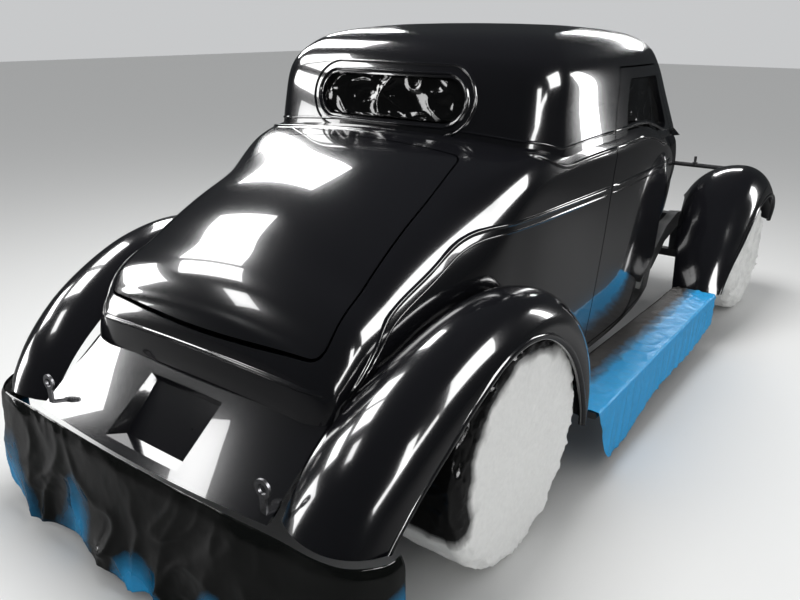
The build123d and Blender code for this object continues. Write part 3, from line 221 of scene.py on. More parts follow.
def sprayed_material(name, colour, sprayed, roughness, sprayed_roughness, fibre=0.0):
    """A covering that turns from its own colour to oversprayed paint where its spray value says."""
    made, tree, shader = material(name)
    link = tree.links.new
    spray = add(tree, "ShaderNodeAttribute", attribute_name="spray")
    patchy = add(tree, "ShaderNodeMath", operation="MULTIPLY_ADD")
    link(noise_of(tree, 9.0, 5, 0.6, 0.4), patchy.inputs[0])
    patchy.inputs[1].default_value = 0.36
    link(spray.outputs["Fac"], patchy.inputs[2])
    share = patchy.outputs[0]
    between = tuple((a + b) / 2 for a, b in zip(colour, sprayed))
    varied = add(tree, "ShaderNodeMixRGB", blend_type="MULTIPLY", Fac=0.3)
    link(ramp(tree, share, [(0.3, colour), (0.52, between), (0.95, sprayed)]), varied.inputs["Color1"])
    mottle = ramp(tree, noise_of(tree, 60.0, 5, 0.65), [(0.3, (0.72,) * 3), (0.7, (1,) * 3)])
    link(mottle, varied.inputs["Color2"])
    link(varied.outputs["Color"], shader.inputs["Base Color"])
    rough = ramp(tree, share, [(0.3, (roughness,) * 3), (0.95, (sprayed_roughness,) * 3)])
    link(rough, shader.inputs["Roughness"])
    if fibre:
        first = bump(tree, shader, noise_of(tree, 420, 4, 0.7), 0.35, 0.0008)
        bump(tree, shader, noise_of(tree, 24, 5, 0.6, 0.5), fibre, 0.006, first)
    else:
        bump(tree, shader, noise_of(tree, 34, 3, 0.5, 0.7), 0.16, 0.003)
    return made


MATERIALS = {
    "paint": paint_material(),
    "bright": plain_material("bright_metal", (0.62, 0.63, 0.65), 0.14, 1.0, 90, 0.1, 0.0002),
    "dark_metal": plain_material("dark_metal", (0.028, 0.028, 0.03), 0.45, 0.0, 70, 0.35),
    "bare_steel": plain_material("bare_steel", (0.25, 0.25, 0.26), 0.38, 1.0, 120, 0.3, 0.0004),
    "iron": plain_material("cast_iron", (0.13, 0.13, 0.135), 0.6, 0.2, 110, 0.3, 0.001),
    "tyre": plain_material("tyre_rubber", (0.022, 0.022, 0.023), 0.78, 0.0, 140, 0.25),
    "wheel_paint": plain_material("rim_paint", (0.24, 0.25, 0.26), 0.35, 0.4, 80, 0.15),
    "white_cover": sprayed_material("white_nonwoven", (0.93, 0.93, 0.91), (0.006, 0.006, 0.006),
                                    0.8, 0.09, 0.3),
    "blue_film": sprayed_material("blue_film", (0.03, 0.42, 0.86), (0.05, 0.044, 0.04), 0.35, 0.5),
    "dark_film": sprayed_material("dark_film", (0.015, 0.3, 0.62), (0.004, 0.0045, 0.004), 0.3, 0.09),
    "black_film": sprayed_material("black_film", (0.01, 0.012, 0.011), (0.004, 0.004, 0.004), 0.07, 0.07),
}


def dress_cad_nodes():
    """The record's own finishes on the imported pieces, shaded smooth up to a crease."""
    slots = {part["node"]: part["material_slot"] for part in frame["record"]["subparts"]}
    for name, piece in frame["nodes"].items():
        piece.data.materials.clear()
        piece.data.materials.append(MATERIALS[slots[name]])
        for polygon in piece.data.polygons:
            polygon.use_smooth = True
        weld = piece.modifiers.new("weld", "WELD")
        weld.merge_threshold = 0.00002
        split = piece.modifiers.new("crease", "EDGE_SPLIT")
        split.split_angle = math.radians(28)


# Meshes

def linked(name, mesh, body, slot):
    """The piece that shows a mesh, riding on its body in its material."""
    mesh.materials.append(MATERIALS[slot])
    piece = bpy.data.objects.new(name, mesh)
    bpy.context.scene.collection.objects.link(piece)
    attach(piece, body)
    return piece


def new_piece(name, vertices, faces, body, slot, spray=None):
    mesh = bpy.data.meshes.new(name)
    mesh.from_pydata([tuple(v) for v in vertices], [], faces)
    mesh.update()
    if spray:
        layer = mesh.attributes.new("spray", "FLOAT", "POINT")
        layer.data.foreach_set("value", spray)
    for polygon in mesh.polygons:
        polygon.use_smooth = True
    return linked(name, mesh, body, slot)


def panel(name, bm, body, node, crease_deg=CREASE_DEG):
    """A painted panel from a bmesh, smooth but for its creases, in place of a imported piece."""
    limit = math.radians(crease_deg)
    for edge in bm.edges:
        edge.smooth = edge.is_manifold and edge.calc_face_angle(0) < limit
    for face in bm.faces:
        face.smooth = True
    mesh = bpy.data.meshes.new(name)
    bm.to_mesh(mesh)
    bm.free()
    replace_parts(linked(name, mesh, body, "paint"), node)


def hermite(rows, at):
    """The row at a place between table rows, smooth through every row."""
    last = len(rows) - 1
    i = 0
    while i < last - 1 and at > rows[i + 1][0]:
        i += 1
    h = rows[i + 1][0] - rows[i][0]
    t = (at - rows[i][0]) / h

    def slope(k, c):
        def rise(a, b):
            return (rows[b][c] - rows[a][c]) / (rows[b][0] - rows[a][0])
        if k == 0:
            return rise(0, 1)
        if k == last:
            return rise(last - 1, last)
        wide = rows[k + 1][0] - rows[k - 1][0]
        near = rows[k + 1][0] - rows[k][0]
        return (rise(k - 1, k) * near + rise(k, k + 1) * (wide - near)) / wide

    out = []
    for c in range(1, len(rows[0])):
        a, b = rows[i][c], rows[i + 1][c]
        out.append((2 * t ** 3 - 3 * t ** 2 + 1) * a + (t ** 3 - 2 * t ** 2 + t) * h * slope(i, c)
                   + (3 * t ** 2 - 2 * t ** 3) * b + (t ** 3 - t ** 2) * h * slope(i + 1, c))
    return out


def tangent_arc(start, heading, end, count):
    """Points of the arc that leaves start along heading and ends at end, and its last heading."""
    chord = end - start
    square = Vector((-heading.y, heading.x))
    curvature = 2 * chord.dot(square) / chord.length_squared
    if abs(curvature) < 1e-7:
        return [start.lerp(end, i / count) for i in range(1, count + 1)], heading
    turn = 2 * math.atan2(chord.dot(square), chord.dot(heading))
    points = []
    for i in range(1, count + 1):
        a = turn * i / count
        points.append(start + heading * (math.sin(a) / curvature) + square * ((1 - math.cos(a)) / curvature))
    return points, heading * math.cos(turn) + square * math.sin(turn)


def body_half(row, counts=(16, 12, 26)):
    """Half a body section, from the middle of the top round to the sill, as (y, z)."""
    y0, z0, y1, z1, y2, z2, top = row
    points = [Vector((0, top))]
    heading = Vector((1, 0))
    for (y, z), count in zip(((y2, z2), (y1, z1), (y0, z0)), counts):
        arc, heading = tangent_arc(points[-1], heading, Vector((y, z)), count)
        points += arc
    return points


def spaced(values, step):
    """Places from the first value to the last that keep each value and are about a step apart."""
    out = [values[0]]
    for a, b in zip(values, values[1:]):
        count = max(1, round(abs(b - a) / step))
        out += [a + (b - a) * i / count for i in range(1, count + 1)]
    return out


def skin_over(rings, closed):
    """A skin over rings of places, as a bmesh, and its rings of vertices."""
    bm = bmesh.new()
    rings = [[bm.verts.new(p) for p in ring] for ring in rings]
    count = len(rings[0])
    for a, b in zip(rings, rings[1:]):
        for i in range(count if closed else count - 1):
            j = (i + 1) % count
            bm.faces.new((a[i], b[i], b[j], a[j]))
    return bm, rings


def body_grid():
    """The whole lower body's outer skin."""
    rings = []
    for d in spaced([-558, -545, -527, -493], 3.5)[:-1] + spaced([-493, -300, 320, 1910], 18):
        half = body_half(hermite(BODY_SECTIONS, d))
        rings.append([place(d, -p.x, p.y) for p in reversed(half[1:])] + [place(d, p.x, p.y) for p in half])
    bm, rings = skin_over(rings, False)
    bm.faces.new(rings[0])
    bm.normal_update()
    return bm


def roof_half(row, counts=(14, 14, 30, 8)):
    """Half a level cabin section, from the middle of the rear wall round to the windscreen's middle."""
    d_rear, bulge, y_rear, chord, d_front, y_front = row
    points = [Vector((d_rear, 0))]
    arc, heading = tangent_arc(points[0], Vector((0, 1)), Vector((d_rear + bulge, y_rear)), counts[0])
    points += arc
    turn = math.radians((math.degrees(math.atan2(heading.y, heading.x)) + CORNER_SPLAY_DEG) / 2)
    corner = points[-1] + Vector((math.cos(turn), math.sin(turn))) * chord
    for end, count in ((corner, counts[1]), (Vector((d_front, y_front)), counts[2])):
        arc, heading = tangent_arc(points[-1], heading, end, count)
        points += arc
    end = Vector((d_front, 0))
    points += [points[-1].lerp(end, i / counts[3]) for i in range(1, counts[3] + 1)]
    return points


# The cabin's sections by number, so that a place between them has a number too
ROOF_LEVELS = [(index, *row) for index, row in enumerate(ROOF_SECTIONS)]


def roof_grid():
    """The cabin's outer skin from below the belt up to the crown of the roof."""
    rings = []
    for level in spaced([0, 1, 2, 3, 4, 5, 6, 7, 8], 0.125):
        z, *row = hermite(ROOF_LEVELS, level)
        half = roof_half(row)
        rings.append([place(p.x, p.y, z) for p in half] + [place(p.x, -p.y, z) for p in reversed(half[1:-1])])
    bm, rings = skin_over(rings, True)
    bm.faces.new(list(reversed(rings[-1])))
    bm.normal_update()
    return bm


def cabin_outline(z):
    """Half the cabin's outline at a height, from the middle of its rear wall round to the windscreen."""
    low, high = 0.0, float(len(ROOF_LEVELS) - 1)
    for _ in range(30):
        middle = (low + high) / 2
        if hermite(ROOF_LEVELS, middle)[0] < z:
            low = middle
        else:
            high = middle
    return roof_half(hermite(ROOF_LEVELS, low)[1:], (30, 30, 60, 8))


def cabin_foot(tree):
    """Where the left half of the cabin's wall meets the body, as places in the frame."""
    count = len(cabin_outline(1200)) - 9
    heights = [1240.0] * count
    for _ in range(3):
        foot = []
        for i in range(count):
            p = cabin_outline(heights[i])[i]
            hit = tree.ray_cast(place(p.x, p.y * 0.992, 2000), -Z_AXIS)[0]
            heights[i] = CABIN_FOOT_LOW_Z if hit is None else max(CABIN_FOOT_LOW_Z, hit.z / MM)
            foot.append(place(p.x, p.y, heights[i]))
    return foot


def rounded(points, radius, steps=7):
    """A closed outline with its corners rounded."""
    out = []
    count = len(points)
    for i in range(count):
        before = Vector(points[i - 1])
        here = Vector(points[i])
        after = Vector(points[(i + 1) % count])
        a = (before - here).normalized()
        b = (after - here).normalized()
        half = a.angle(b) / 2
        if half > math.radians(86):
            out.append(here)
            continue
        reach = min(radius / math.tan(half), 0.45 * (before - here).length, 0.45 * (after - here).length)
        start = here + a * reach
        end = here + b * reach
        for s in range(steps + 1):
            t = s / steps
            out.append(start * (1 - t) ** 2 + here * 2 * t * (1 - t) + end * t * t)
    return out


def grown(points, amount):
    """A closed outline pushed outward all round."""
    area = sum(a.x * b.y - b.x * a.y for a, b in zip(points, points[1:] + points[:1]))
    way = 1 if area > 0 else -1
    out = []
    for i, here in enumerate(points):
        before = points[i - 1]
        after = points[(i + 1) % len(points)]
        along = (after - before).normalized()
        out.append(here + Vector((along.y, -along.x)) * amount * way)
    return out


def inside(point, outline):
    hit = False
    for a, b in zip(outline, outline[1:] + outline[:1]):
        if (a.y > point.y) != (b.y > point.y):
            if point.x < (b.x - a.x) * (point.y - a.y) / (b.y - a.y) + a.x:
                hit = not hit
    return hit


def middle_of(face):
    return spot_of(face.calc_center_median())


class Cut:
    """An outline drawn on one plane and run straight through the skin, such as a door seen from the
    side. flatten gives a point's place on that plane, in millimetres, axes are the plane's two ways,
    along is the run's way, and wanted tells which faces it may touch."""

    def __init__(self, outline, flatten, axes, along, wanted):
        self.outline = outline
        self.flatten = flatten
        self.axes = axes
        self.along = along
        self.wanted = wanted

    def near(self, face, a, b, margin=4):
        """Whether a face reaches the box round one line of the outline."""
        flat = [self.flatten(v.co) for v in face.verts]
        return all(max(p[k] for p in flat) >= min(a[k], b[k]) - margin
                   and min(p[k] for p in flat) <= max(a[k], b[k]) + margin for k in (0, 1))

    def score(self, bm):
        """Cuts edges into the skin along the outline."""
        first, second = self.axes
        for a, b in zip(self.outline, self.outline[1:] + self.outline[:1]):
            run = b - a
            if run.length < 1e-6:
                continue
            faces = [face for face in bm.faces if self.wanted(face) and self.near(face, a, b)]
            if not faces:
                continue
            edges = {edge for face in faces for edge in face.edges}
            verts = {vert for face in faces for vert in face.verts}
            middle = (a + b) / 2
            seed = min(faces, key=lambda f: (self.flatten(f.calc_center_median()) - middle).length)
            centre = seed.calc_center_median()
            offset = middle - self.flatten(centre)
            bmesh.ops.bisect_plane(bm, geom=list(verts) + list(edges) + faces, dist=1e-7,
                                   plane_co=centre + (first * offset.x + second * offset.y) * MM,
                                   plane_no=(first * run.x + second * run.y).cross(self.along).normalized())

    def holds(self, face):
        return self.wanted(face) and inside(self.flatten(face.calc_center_median()), self.outline)


X_AXIS = Vector((1, 0, 0))
Y_AXIS = Vector((0, 1, 0))
Z_AXIS = Vector((0, 0, 1))


def side_cut(outline, sign, slant=DOOR_SLANT):
    """A cut seen from the side, slanted forward as it goes outward, on one side of the car."""
    def flatten(p):
        d, y, z = spot_of(p)
        return Vector((d - slant * (abs(y) - DOOR_MID_Y), z))
    return Cut(outline, flatten, (X_AXIS, Z_AXIS), Vector((slant, sign, 0)).normalized(),
               lambda face: middle_of(face)[1] * sign > 200)


def plan_cut(outline, wanted):
    return Cut(outline, lambda p: Vector(spot_of(p)[:2]), (X_AXIS, Y_AXIS), Z_AXIS, wanted)


def face_cut(outline, wanted):
    """A cut seen from the front or the rear."""
    return Cut(outline, lambda p: Vector(spot_of(p)[1:]), (Y_AXIS, Z_AXIS), X_AXIS, wanted)


def keep(bm, test):
    gone = [face for face in bm.faces if not test(face)]
    bmesh.ops.delete(bm, geom=gone, context="FACES")


def give_wall(bm, wall):
    """Closes a skin into a panel: a copy set inward, and a wall round every edge."""
    bm.normal_update()
    inner = {vert: bm.verts.new(vert.co - vert.normal * (wall * MM)) for vert in list(bm.verts)}
    faces = list(bm.faces)
    for edge in [edge for edge in bm.edges if edge.is_boundary]:
        loop = edge.link_loops[0]
        a, b = loop.vert, loop.link_loop_next.vert
        bm.faces.new((b, a, inner[a], inner[b]))
    for face in faces:
        bm.faces.new([inner[v] for v in reversed(face.verts)])
    bm.normal_update()


def lid_outline():
    """The deck lid seen from above, its rear edge bowed backward."""
    (front, front_half), (rear, rear_half) = LID_FRONT, LID_REAR
    out = []
    for p in rounded([(front, -front_half), (front, front_half), (rear, rear_half), (rear, -rear_half)],
                     LID_CORNER_R):
        bow = LID_REAR_BOW * max(0.0, 1 - (p.y / rear_half) ** 2) if p.x < rear + 60 else 0.0
        out.append(Vector((p.x - bow, p.y)))
    final = []
    for a, b in zip(out, out[1:] + out[:1]):
        final.append(a)
        if a.x < rear + 8 and b.x < rear + 8 and abs(a.y - b.y) > 200:
            for i in range(1, 18):
                y = a.y + (b.y - a.y) * i / 18
                final.append(Vector((rear - LID_REAR_BOW * (1 - (y / rear_half) ** 2), y)))
    return final


def screen_outline():
    half, low, high, radius = SCREEN
    return rounded([(-half, low), (half, low), (half, high), (-half, high)], radius)


def deck_face(face):
    d, _, z = middle_of(face)
    return face.normal.z > 0.12 and z > DECK_LOW_Z and d < DECK_FRONT_D


DOOR = rounded(DOOR_OUTLINE, DOOR_CORNER_R)
DOOR_GLASS = rounded(DOOR_WINDOW, DOOR_WINDOW_R)


def door_holes():
    return [side_cut(grown(DOOR, PANEL_GAP), sign) for sign in (1, -1)]


def split_body():
    """The lower body's panels: quarters with cowl and tail, the deck lid, the doors' lower halves."""
    rest = body_grid()
    tree = BVHTree.FromBMesh(rest)
    footprint = roof_half(hermite(ROOF_LEVELS, 1.0)[1:])
    footprint = footprint + [Vector((p.x, -p.y)) for p in reversed(footprint[1:-1])]
    inner_footprint = grown(footprint, -CABIN_LAP)

    def in_cabin(face):
        d, y, z = middle_of(face)
        return z > 1100 and face.normal.z > 0.35 and inside(Vector((d, y)), inner_footprint)

    def past_hood(face):
        d, _, z = middle_of(face)
        return d > HOOD_REAR_D + HOOD_SLOPE * (z - HOOD_REAR_Z)

    def in_arch(face):
        d, y, z = middle_of(face)
        reach = math.hypot(d, z - REAR_AXLE_Z / MM)
        return abs(y) > ARCH_INNER_Y and face.normal.z < 0.5 and reach < REAR_ARCH_R

    lid = lid_outline()
    lid_skin = rest.copy()
    cut = plan_cut(lid, deck_face)
    cut.score(lid_skin)
    keep(lid_skin, cut.holds)
    give_wall(lid_skin, SKIN_WALL)
    panel("trunk_lid_skin", lid_skin, "trunk_lid", "trunk_lid")

    doors = {}
    for side, sign in SIDES:
        doors[side] = rest.copy()
        cut = side_cut(DOOR, sign)
        cut.score(doors[side])
        keep(doors[side], lambda face: cut.holds(face) and not in_cabin(face))

    cuts = [plan_cut(grown(lid, PANEL_GAP), deck_face)] + door_holes()
    for cut in cuts:
        cut.score(rest)
    bmesh.ops.bisect_plane(rest, geom=list(rest.verts) + list(rest.edges) + list(rest.faces), dist=1e-7,
                           plane_co=place(HOOD_REAR_D, 0, HOOD_REAR_Z), plane_no=Vector((1, 0, -HOOD_SLOPE)))
    keep(rest, lambda face: not (any(cut.holds(face) for cut in cuts) or in_cabin(face)
                                 or past_hood(face) or in_arch(face)))
    give_wall(rest, SKIN_WALL)
    panel("body_skin", rest, "chassis", "body_shell")
    return tree, doors


def split_roof(door_skins):
    """The cabin's panels, and the doors joined from their lower and upper halves."""
    whole = roof_grid()
    tree = BVHTree.FromBMesh(whole)
    for side, sign in SIDES:
        skin = whole.copy()
        outer = side_cut(DOOR, sign)
        outer.score(skin)
        keep(skin, lambda face: outer.holds(face) and middle_of(face)[2] > DOOR_JOIN_Z)
        hole = side_cut(DOOR_GLASS, sign, 0.0)
        hole.score(skin)
        keep(skin, lambda face: not hole.holds(face))
        lower = door_skins[side]
        mesh = bpy.data.meshes.new("upper")
        skin.to_mesh(mesh)
        skin.free()
        lower.from_mesh(mesh)
        bpy.data.meshes.remove(mesh)
        give_wall(lower, DOOR_WALL)
        panel("door_skin_" + side, lower, "door_" + side, "door_" + side)
    reach = REAR_WINDOW_HALF - REAR_WINDOW_R
    oval = []
    for i in range(56):
        a = 2 * math.pi * i / 56
        oval.append(Vector((math.cos(a) * REAR_WINDOW_R + (reach if math.cos(a) >= 0 else -reach),
                            REAR_WINDOW_Z + math.sin(a) * REAR_WINDOW_R)))
    cuts = door_holes() + [face_cut(oval, lambda face: middle_of(face)[0] < REAR_WALL_FRONT_D),
                           face_cut(screen_outline(), lambda face: middle_of(face)[0] > SCREEN_REAR_D)]
    for cut in cuts:
        cut.score(whole)
    keep(whole, lambda face: not any(cut.holds(face) for cut in cuts))
    give_wall(whole, CABIN_WALL)
    panel("cabin_skin", whole, "chassis", "roof")
    return tree


# Beads and mouldings

BEAD_ACROSS = 10
BEAD_SINK = 0.6
SWAGE_STEP = 14

# Beads round the rear window, as (distance outside it, width, height)
WINDOW_BEADS = ((13, 19, 9), (42, 15, 6))

# Beads round the cabin's foot and over the tail, as (width, height)
BELT_TOP = (15, 5)
BELT_LOW = (19, 7)
TAIL_BEAD = (20, 7)
BELT_RISE = 20
BELT_REACH = 44
CABIN_MIDDLE_D = 1050
TAIL_BEAD_HALF = 500
TAIL_BEAD_Z = 684
TAIL_BEAD_BOW = 14

# The line along each side, as (d, height), and its beads, as (distance below it, width, height)
SWAGE = ((1845, 1006), (1360, 1024), (900, 1024), (400, 1018), (85, 1008), (-150, 920),
         (-300, 850), (-400, 760), (-478, 672))
SIDE_BEADS = ((0, 20, 7), (26, 12, 3))

# A distance clear of the car, from which points are dropped on it
OUTSIDE = 900
CAR_MIDDLE = Vector((0, 0, 0.8))


def cells(rows, columns, around=False):
    """The cells of a grid of vertices, each as its first vertex and the one beside that in the next
    row. Where the grid runs around, the first row follows the last."""
    return [(i * columns + k, (i + 1) % rows * columns + k)
            for i in range(rows if around else rows - 1) for k in range(columns - 1)]


def ribbon(name, path, normals, size, body, closed=False):
    """A raised bead that runs along a path on a surface and blends into it on both sides."""
    width, height = size
    count = len(path)
    verts = []
    for i in range(count):
        before = path[i - 1] if (i or closed) else path[0]
        after = path[(i + 1) % count] if (i < count - 1 or closed) else path[-1]
        along = (after - before).normalized()
        up = normals[i].normalized()
        side = along.cross(up).normalized()
        fade = 1.0 if closed else min(1.0, 0.25 + min(i, count - 1 - i) * 0.25)
        for k in range(BEAD_ACROSS + 1):
            s = -1 + 2 * k / BEAD_ACROSS
            lift = height * fade * 0.5 * (1 + math.cos(math.pi * s)) - BEAD_SINK
            verts.append(path[i] + side * (s * width / 2 * MM) + up * (lift * MM))
    faces = [(a, b, b + 1, a + 1) for a, b in cells(count, BEAD_ACROSS + 1, closed)]
    new_piece(name, verts, faces, body, "paint")


def lay(tree, points, way):
    """Drops points on a surface along a direction, giving their places and the surface's normals."""
    places, normals = [], []
    for p in points:
        hit, normal, _, _ = tree.ray_cast(p - way, way)
        if hit is not None:
            places.append(hit)
            normals.append(-normal if normal.dot(way) > 0 else normal)
    return places, normals


def cling(tree, points):
    """Moves points to the nearest place on a surface, giving their places and outward normals."""
    places, normals = [], []
    for p in points:
        hit, normal, _, _ = tree.find_nearest(p)
        places.append(hit)
        normals.append(-normal if normal.dot(hit - CAR_MIDDLE) < 0 else normal)
    return places, normals


def eased(points, rounds):
    """A path with its small kinks smoothed out, its ends kept."""
    for _ in range(rounds):
        inner = [(a + b * 2 + c) / 4 for a, b, c in zip(points, points[1:], points[2:])]
        points = [points[0]] + inner + [points[-1]]
    return points


def moulding(name, tree, path, size, sign):
    """Beads on a path along the side that already lies close to the surface, one for each panel."""
    for number, (body, points) in enumerate(by_panel(path, sign)):
        places, normals = cling(tree, points)
        ribbon("%s_%d" % (name, number), eased(places, 3), eased(normals, 6), size, body)


def by_panel(path, sign):
    """Splits a path along the side at the door's edges: for each run, its body and its points."""
    runs = []
    for p in path:
        d, y, z = spot_of(p)
        slanted = d - DOOR_SLANT * (abs(y) - DOOR_MID_Y)
        rear, front = door_edges(z)
        if rear + 2 < slanted < front - 2:
            owner = "door_left" if sign > 0 else "door_right"
        elif rear - PANEL_GAP - 2 < slanted < front + PANEL_GAP + 2:
            owner = None
        else:
            owner = "chassis"
        if not runs or runs[-1][0] != owner:
            runs.append((owner, []))
        runs[-1][1].append(p)
    return [(owner, points) for owner, points in runs if owner and len(points) > 3]


def door_edges(z):
    """The door's rear and front edge at a height, with nothing between them where there is no door."""
    hits = []
    for (d0, z0), (d1, z1) in zip(DOOR_OUTLINE, DOOR_OUTLINE[1:]):
        if (z0 - z) * (z1 - z) <= 0 and z0 != z1:
            hits.append(d0 + (d1 - d0) * (z - z0) / (z1 - z0))
    return (min(hits), max(hits)) if len(hits) > 1 else (math.inf, -math.inf)


def smooth_path(points, step):
    """Points about a step apart on a smooth line through the given ones."""
    out = []
    count = len(points)
    for i in range(count - 1):
        p0 = Vector(points[max(0, i - 1)])
        p1 = Vector(points[i])
        p2 = Vector(points[i + 1])
        p3 = Vector(points[min(count - 1, i + 2)])
        pieces = max(1, round((p2 - p1).length / step))
        for k in range(pieces):
            t = k / pieces
            out.append(0.5 * ((2 * p1) + (p2 - p0) * t + (2 * p0 - 5 * p1 + 4 * p2 - p3) * t * t
                              + (3 * p1 - p0 - 3 * p2 + p3) * t ** 3))
    out.append(Vector(points[-1]))
    return out


def oval_path(grow, count):
    """The rear window's outline, grown outward."""
    reach = REAR_WINDOW_HALF - REAR_WINDOW_R
    radius = REAR_WINDOW_R + grow
    run = 4 * reach + 2 * math.pi * radius
    out = []
    for i in range(count):
        s = run * i / count
        if s < math.pi * radius:
            a = -math.pi / 2 + s / radius
            out.append((reach + radius * math.cos(a), radius * math.sin(a)))
        elif s < math.pi * radius + 2 * reach:
            out.append((reach - (s - math.pi * radius), radius))
        elif s < 2 * math.pi * radius + 2 * reach:
            a = math.pi / 2 + (s - math.pi * radius - 2 * reach) / radius
            out.append((-reach + radius * math.cos(a), radius * math.sin(a)))
        else:
            out.append((-reach + (s - 2 * math.pi * radius - 2 * reach), -radius))
    return [place(100, y, REAR_WINDOW_Z + z) for y, z in out]


def belt_lines(foot, tree, sign):
    """The paths of the two beads round the cabin's foot: on its wall and on the body beside it."""
    upper, lower = [], []
    for i, p in enumerate(foot):
        upper.append(Vector((p.x, p.y, p.z + BELT_RISE * MM)))
        before, after = foot[max(0, i - 1)], foot[min(len(foot) - 1, i + 1)]
        _, normal, _, _ = tree.find_nearest(p)
        if normal.z < 0:
            normal = -normal
        away = (after - before).normalized().cross(normal) * sign
        if away.dot(p - Vector((REAR_AXLE_X + CABIN_MIDDLE_D * MM, 0, p.z + 0.4))) < 0:
            away = -away
        lower.append(p + away.normalized() * (BELT_REACH * MM))
    return upper, lower


def mouldings(body_tree, roof_tree):
    """The raised lines: round the rear window, under the cabin, along the sides and over the tail."""
    for index, (grow, width, height) in enumerate(WINDOW_BEADS):
        places, normals = lay(roof_tree, oval_path(grow, 220), X_AXIS)
        ribbon("window_bead_%d" % index, places, normals, (width, height), "chassis", closed=True)
    foot = cabin_foot(body_tree)
    for side, sign in SIDES:
        upper, lower = belt_lines([p * Vector((1, sign, 1)) for p in foot], body_tree, sign)
        moulding("belt_top_" + side, roof_tree, eased(upper, 8), BELT_TOP, sign)
        moulding("belt_low_" + side, body_tree, eased(lower, 8), BELT_LOW, sign)
        swage = smooth_path([place(d, OUTSIDE * sign, z) for d, z in SWAGE], SWAGE_STEP * MM)
        for index, (drop, width, height) in enumerate(SIDE_BEADS):
            line = [p - Vector((0, 0, drop * MM)) for p in swage]
            places, _ = lay(body_tree, line, Vector((0, -sign, 0)))
            moulding("side_%d_%s" % (index, side), body_tree, places, (width, height), sign)
    tail = [place(-OUTSIDE, y, TAIL_BEAD_Z + TAIL_BEAD_BOW * (1 - (y / TAIL_BEAD_HALF) ** 2))
            for y in range(-TAIL_BEAD_HALF, TAIL_BEAD_HALF + 1, 12)]
    places, normals = lay(body_tree, tail, X_AXIS)
    ribbon("tail_bead", eased(places, 3), normals, TAIL_BEAD, "chassis")


# Fenders

FENDER_WALL = 9.0
FENDER_BEAD_R = 13.0
FENDER_BEAD_PROUD = 4.5
FENDER_ROLL_FROM_DEG = -48
FENDER_ROLL_TURN_DEG = 250
FENDER_STEP_DEG = 2.2

# Fender sections hold degrees round the axle, then radius and width of the inner edge, the crown
# and the lip
REAR_FENDER = [
    (-12, 500, 608, 522, 744, 424, 850),
    (10, 470, 606, 506, 744, 376, 854),
    (35, 452, 602, 498, 742, 352, 858),
    (62, 436, 596, 492, 740, 356, 860),
    (90, 414, 590, 496, 738, 392, 860),
    (115, 424, 578, 518, 734, 430, 858),
    (138, 500, 560, 574, 726, 462, 854),
    (156, 590, 544, 656, 712, 520, 846),
    (169, 676, 534, 730, 694, 604, 834),
    (177, 730, 528, 776, 678, 676, 824),
]
FRONT_FENDER = [
    (18, 428, 306, 472, 636, 436, 784),
    (32, 380, 296, 486, 650, 420, 808),
    (50, 330, 310, 502, 660, 400, 824),
    (70, 300, 344, 508, 668, 372, 832),
    (95, 292, 384, 508, 676, 352, 836),
    (122, 316, 420, 494, 684, 358, 836),
    (146, 380, 452, 512, 690, 388, 834),
    (162, 500, 500, 566, 696, 452, 830),
    (174, 640, 556, 660, 700, 560, 824),
    (184, 742, 590, 752, 700, 700, 818),
]


def fender_profile(row):
    """A fender's closed section in its own plane, as (radius, width): the outside from the body to
    the lip, the rolled lip, and the inside back again."""
    r_in, y_in, r_crown, y_crown, r_lip, y_lip = row

    def half(r_end, y_end, count, inset):
        way = 1 if y_end > y_crown else -1
        fall = r_crown - r_end
        reach = y_end - y_crown
        radius = (fall * fall + reach * reach) / (2 * fall)
        turn = math.atan2(abs(reach), radius - fall)
        out = []
        for i in range(count + 1):
            a = turn * i / count
            out.append(Vector((r_crown - radius + (radius - inset) * math.cos(a),
                               y_crown + way * (radius - inset) * math.sin(a))))
        return out

    inward = half(r_in, y_in, 12, 0)
    outward = half(r_lip, y_lip, 22, 0)
    inner_out = half(r_lip, y_lip, 14, FENDER_WALL)
    inner_in = half(r_in, y_in, 8, FENDER_WALL)
    lip = outward[-1]
    out_way = (lip - inner_out[-1]).normalized()
    down = Vector((-out_way.y, out_way.x))
    if down.x > 0:
        down = -down
    centre = lip + down * (FENDER_BEAD_R * 0.6) - out_way * (FENDER_BEAD_R - FENDER_BEAD_PROUD)
    roll = []
    for i in range(16):
        a = math.radians(FENDER_ROLL_FROM_DEG + FENDER_ROLL_TURN_DEG * i / 15)
        roll.append(centre + out_way * (FENDER_BEAD_R * math.cos(a)) + down * (FENDER_BEAD_R * math.sin(a)))
    return inward[::-1] + outward[1:] + roll + inner_out[:0:-1] + inner_in


def fender_piece(wheel, side, sign, rows, axle_x, axle_z):
    """A fender, hollow below and closed at both ends of its sweep round the axle."""
    rings = []
    for angle in spaced([row[0] for row in rows], FENDER_STEP_DEG):
        turn = math.radians(angle)
        rings.append([Vector((axle_x + math.cos(turn) * p.x * MM, sign * p.y * MM,
                              axle_z + math.sin(turn) * p.x * MM))
                      for p in fender_profile(hermite(rows, angle))])
    bm, rings = skin_over(rings[::sign], True)
    bm.faces.new(rings[0])
    bm.faces.new(rings[-1][::-1])
    bmesh.ops.recalc_face_normals(bm, faces=bm.faces)
    panel("%s_fender_form_%s" % (wheel, side), bm, "chassis", "%s_fender_%s" % (wheel, side),
          FENDER_CREASE_DEG)


# Film, bags and covers

FILM_THICKNESS = 0.5

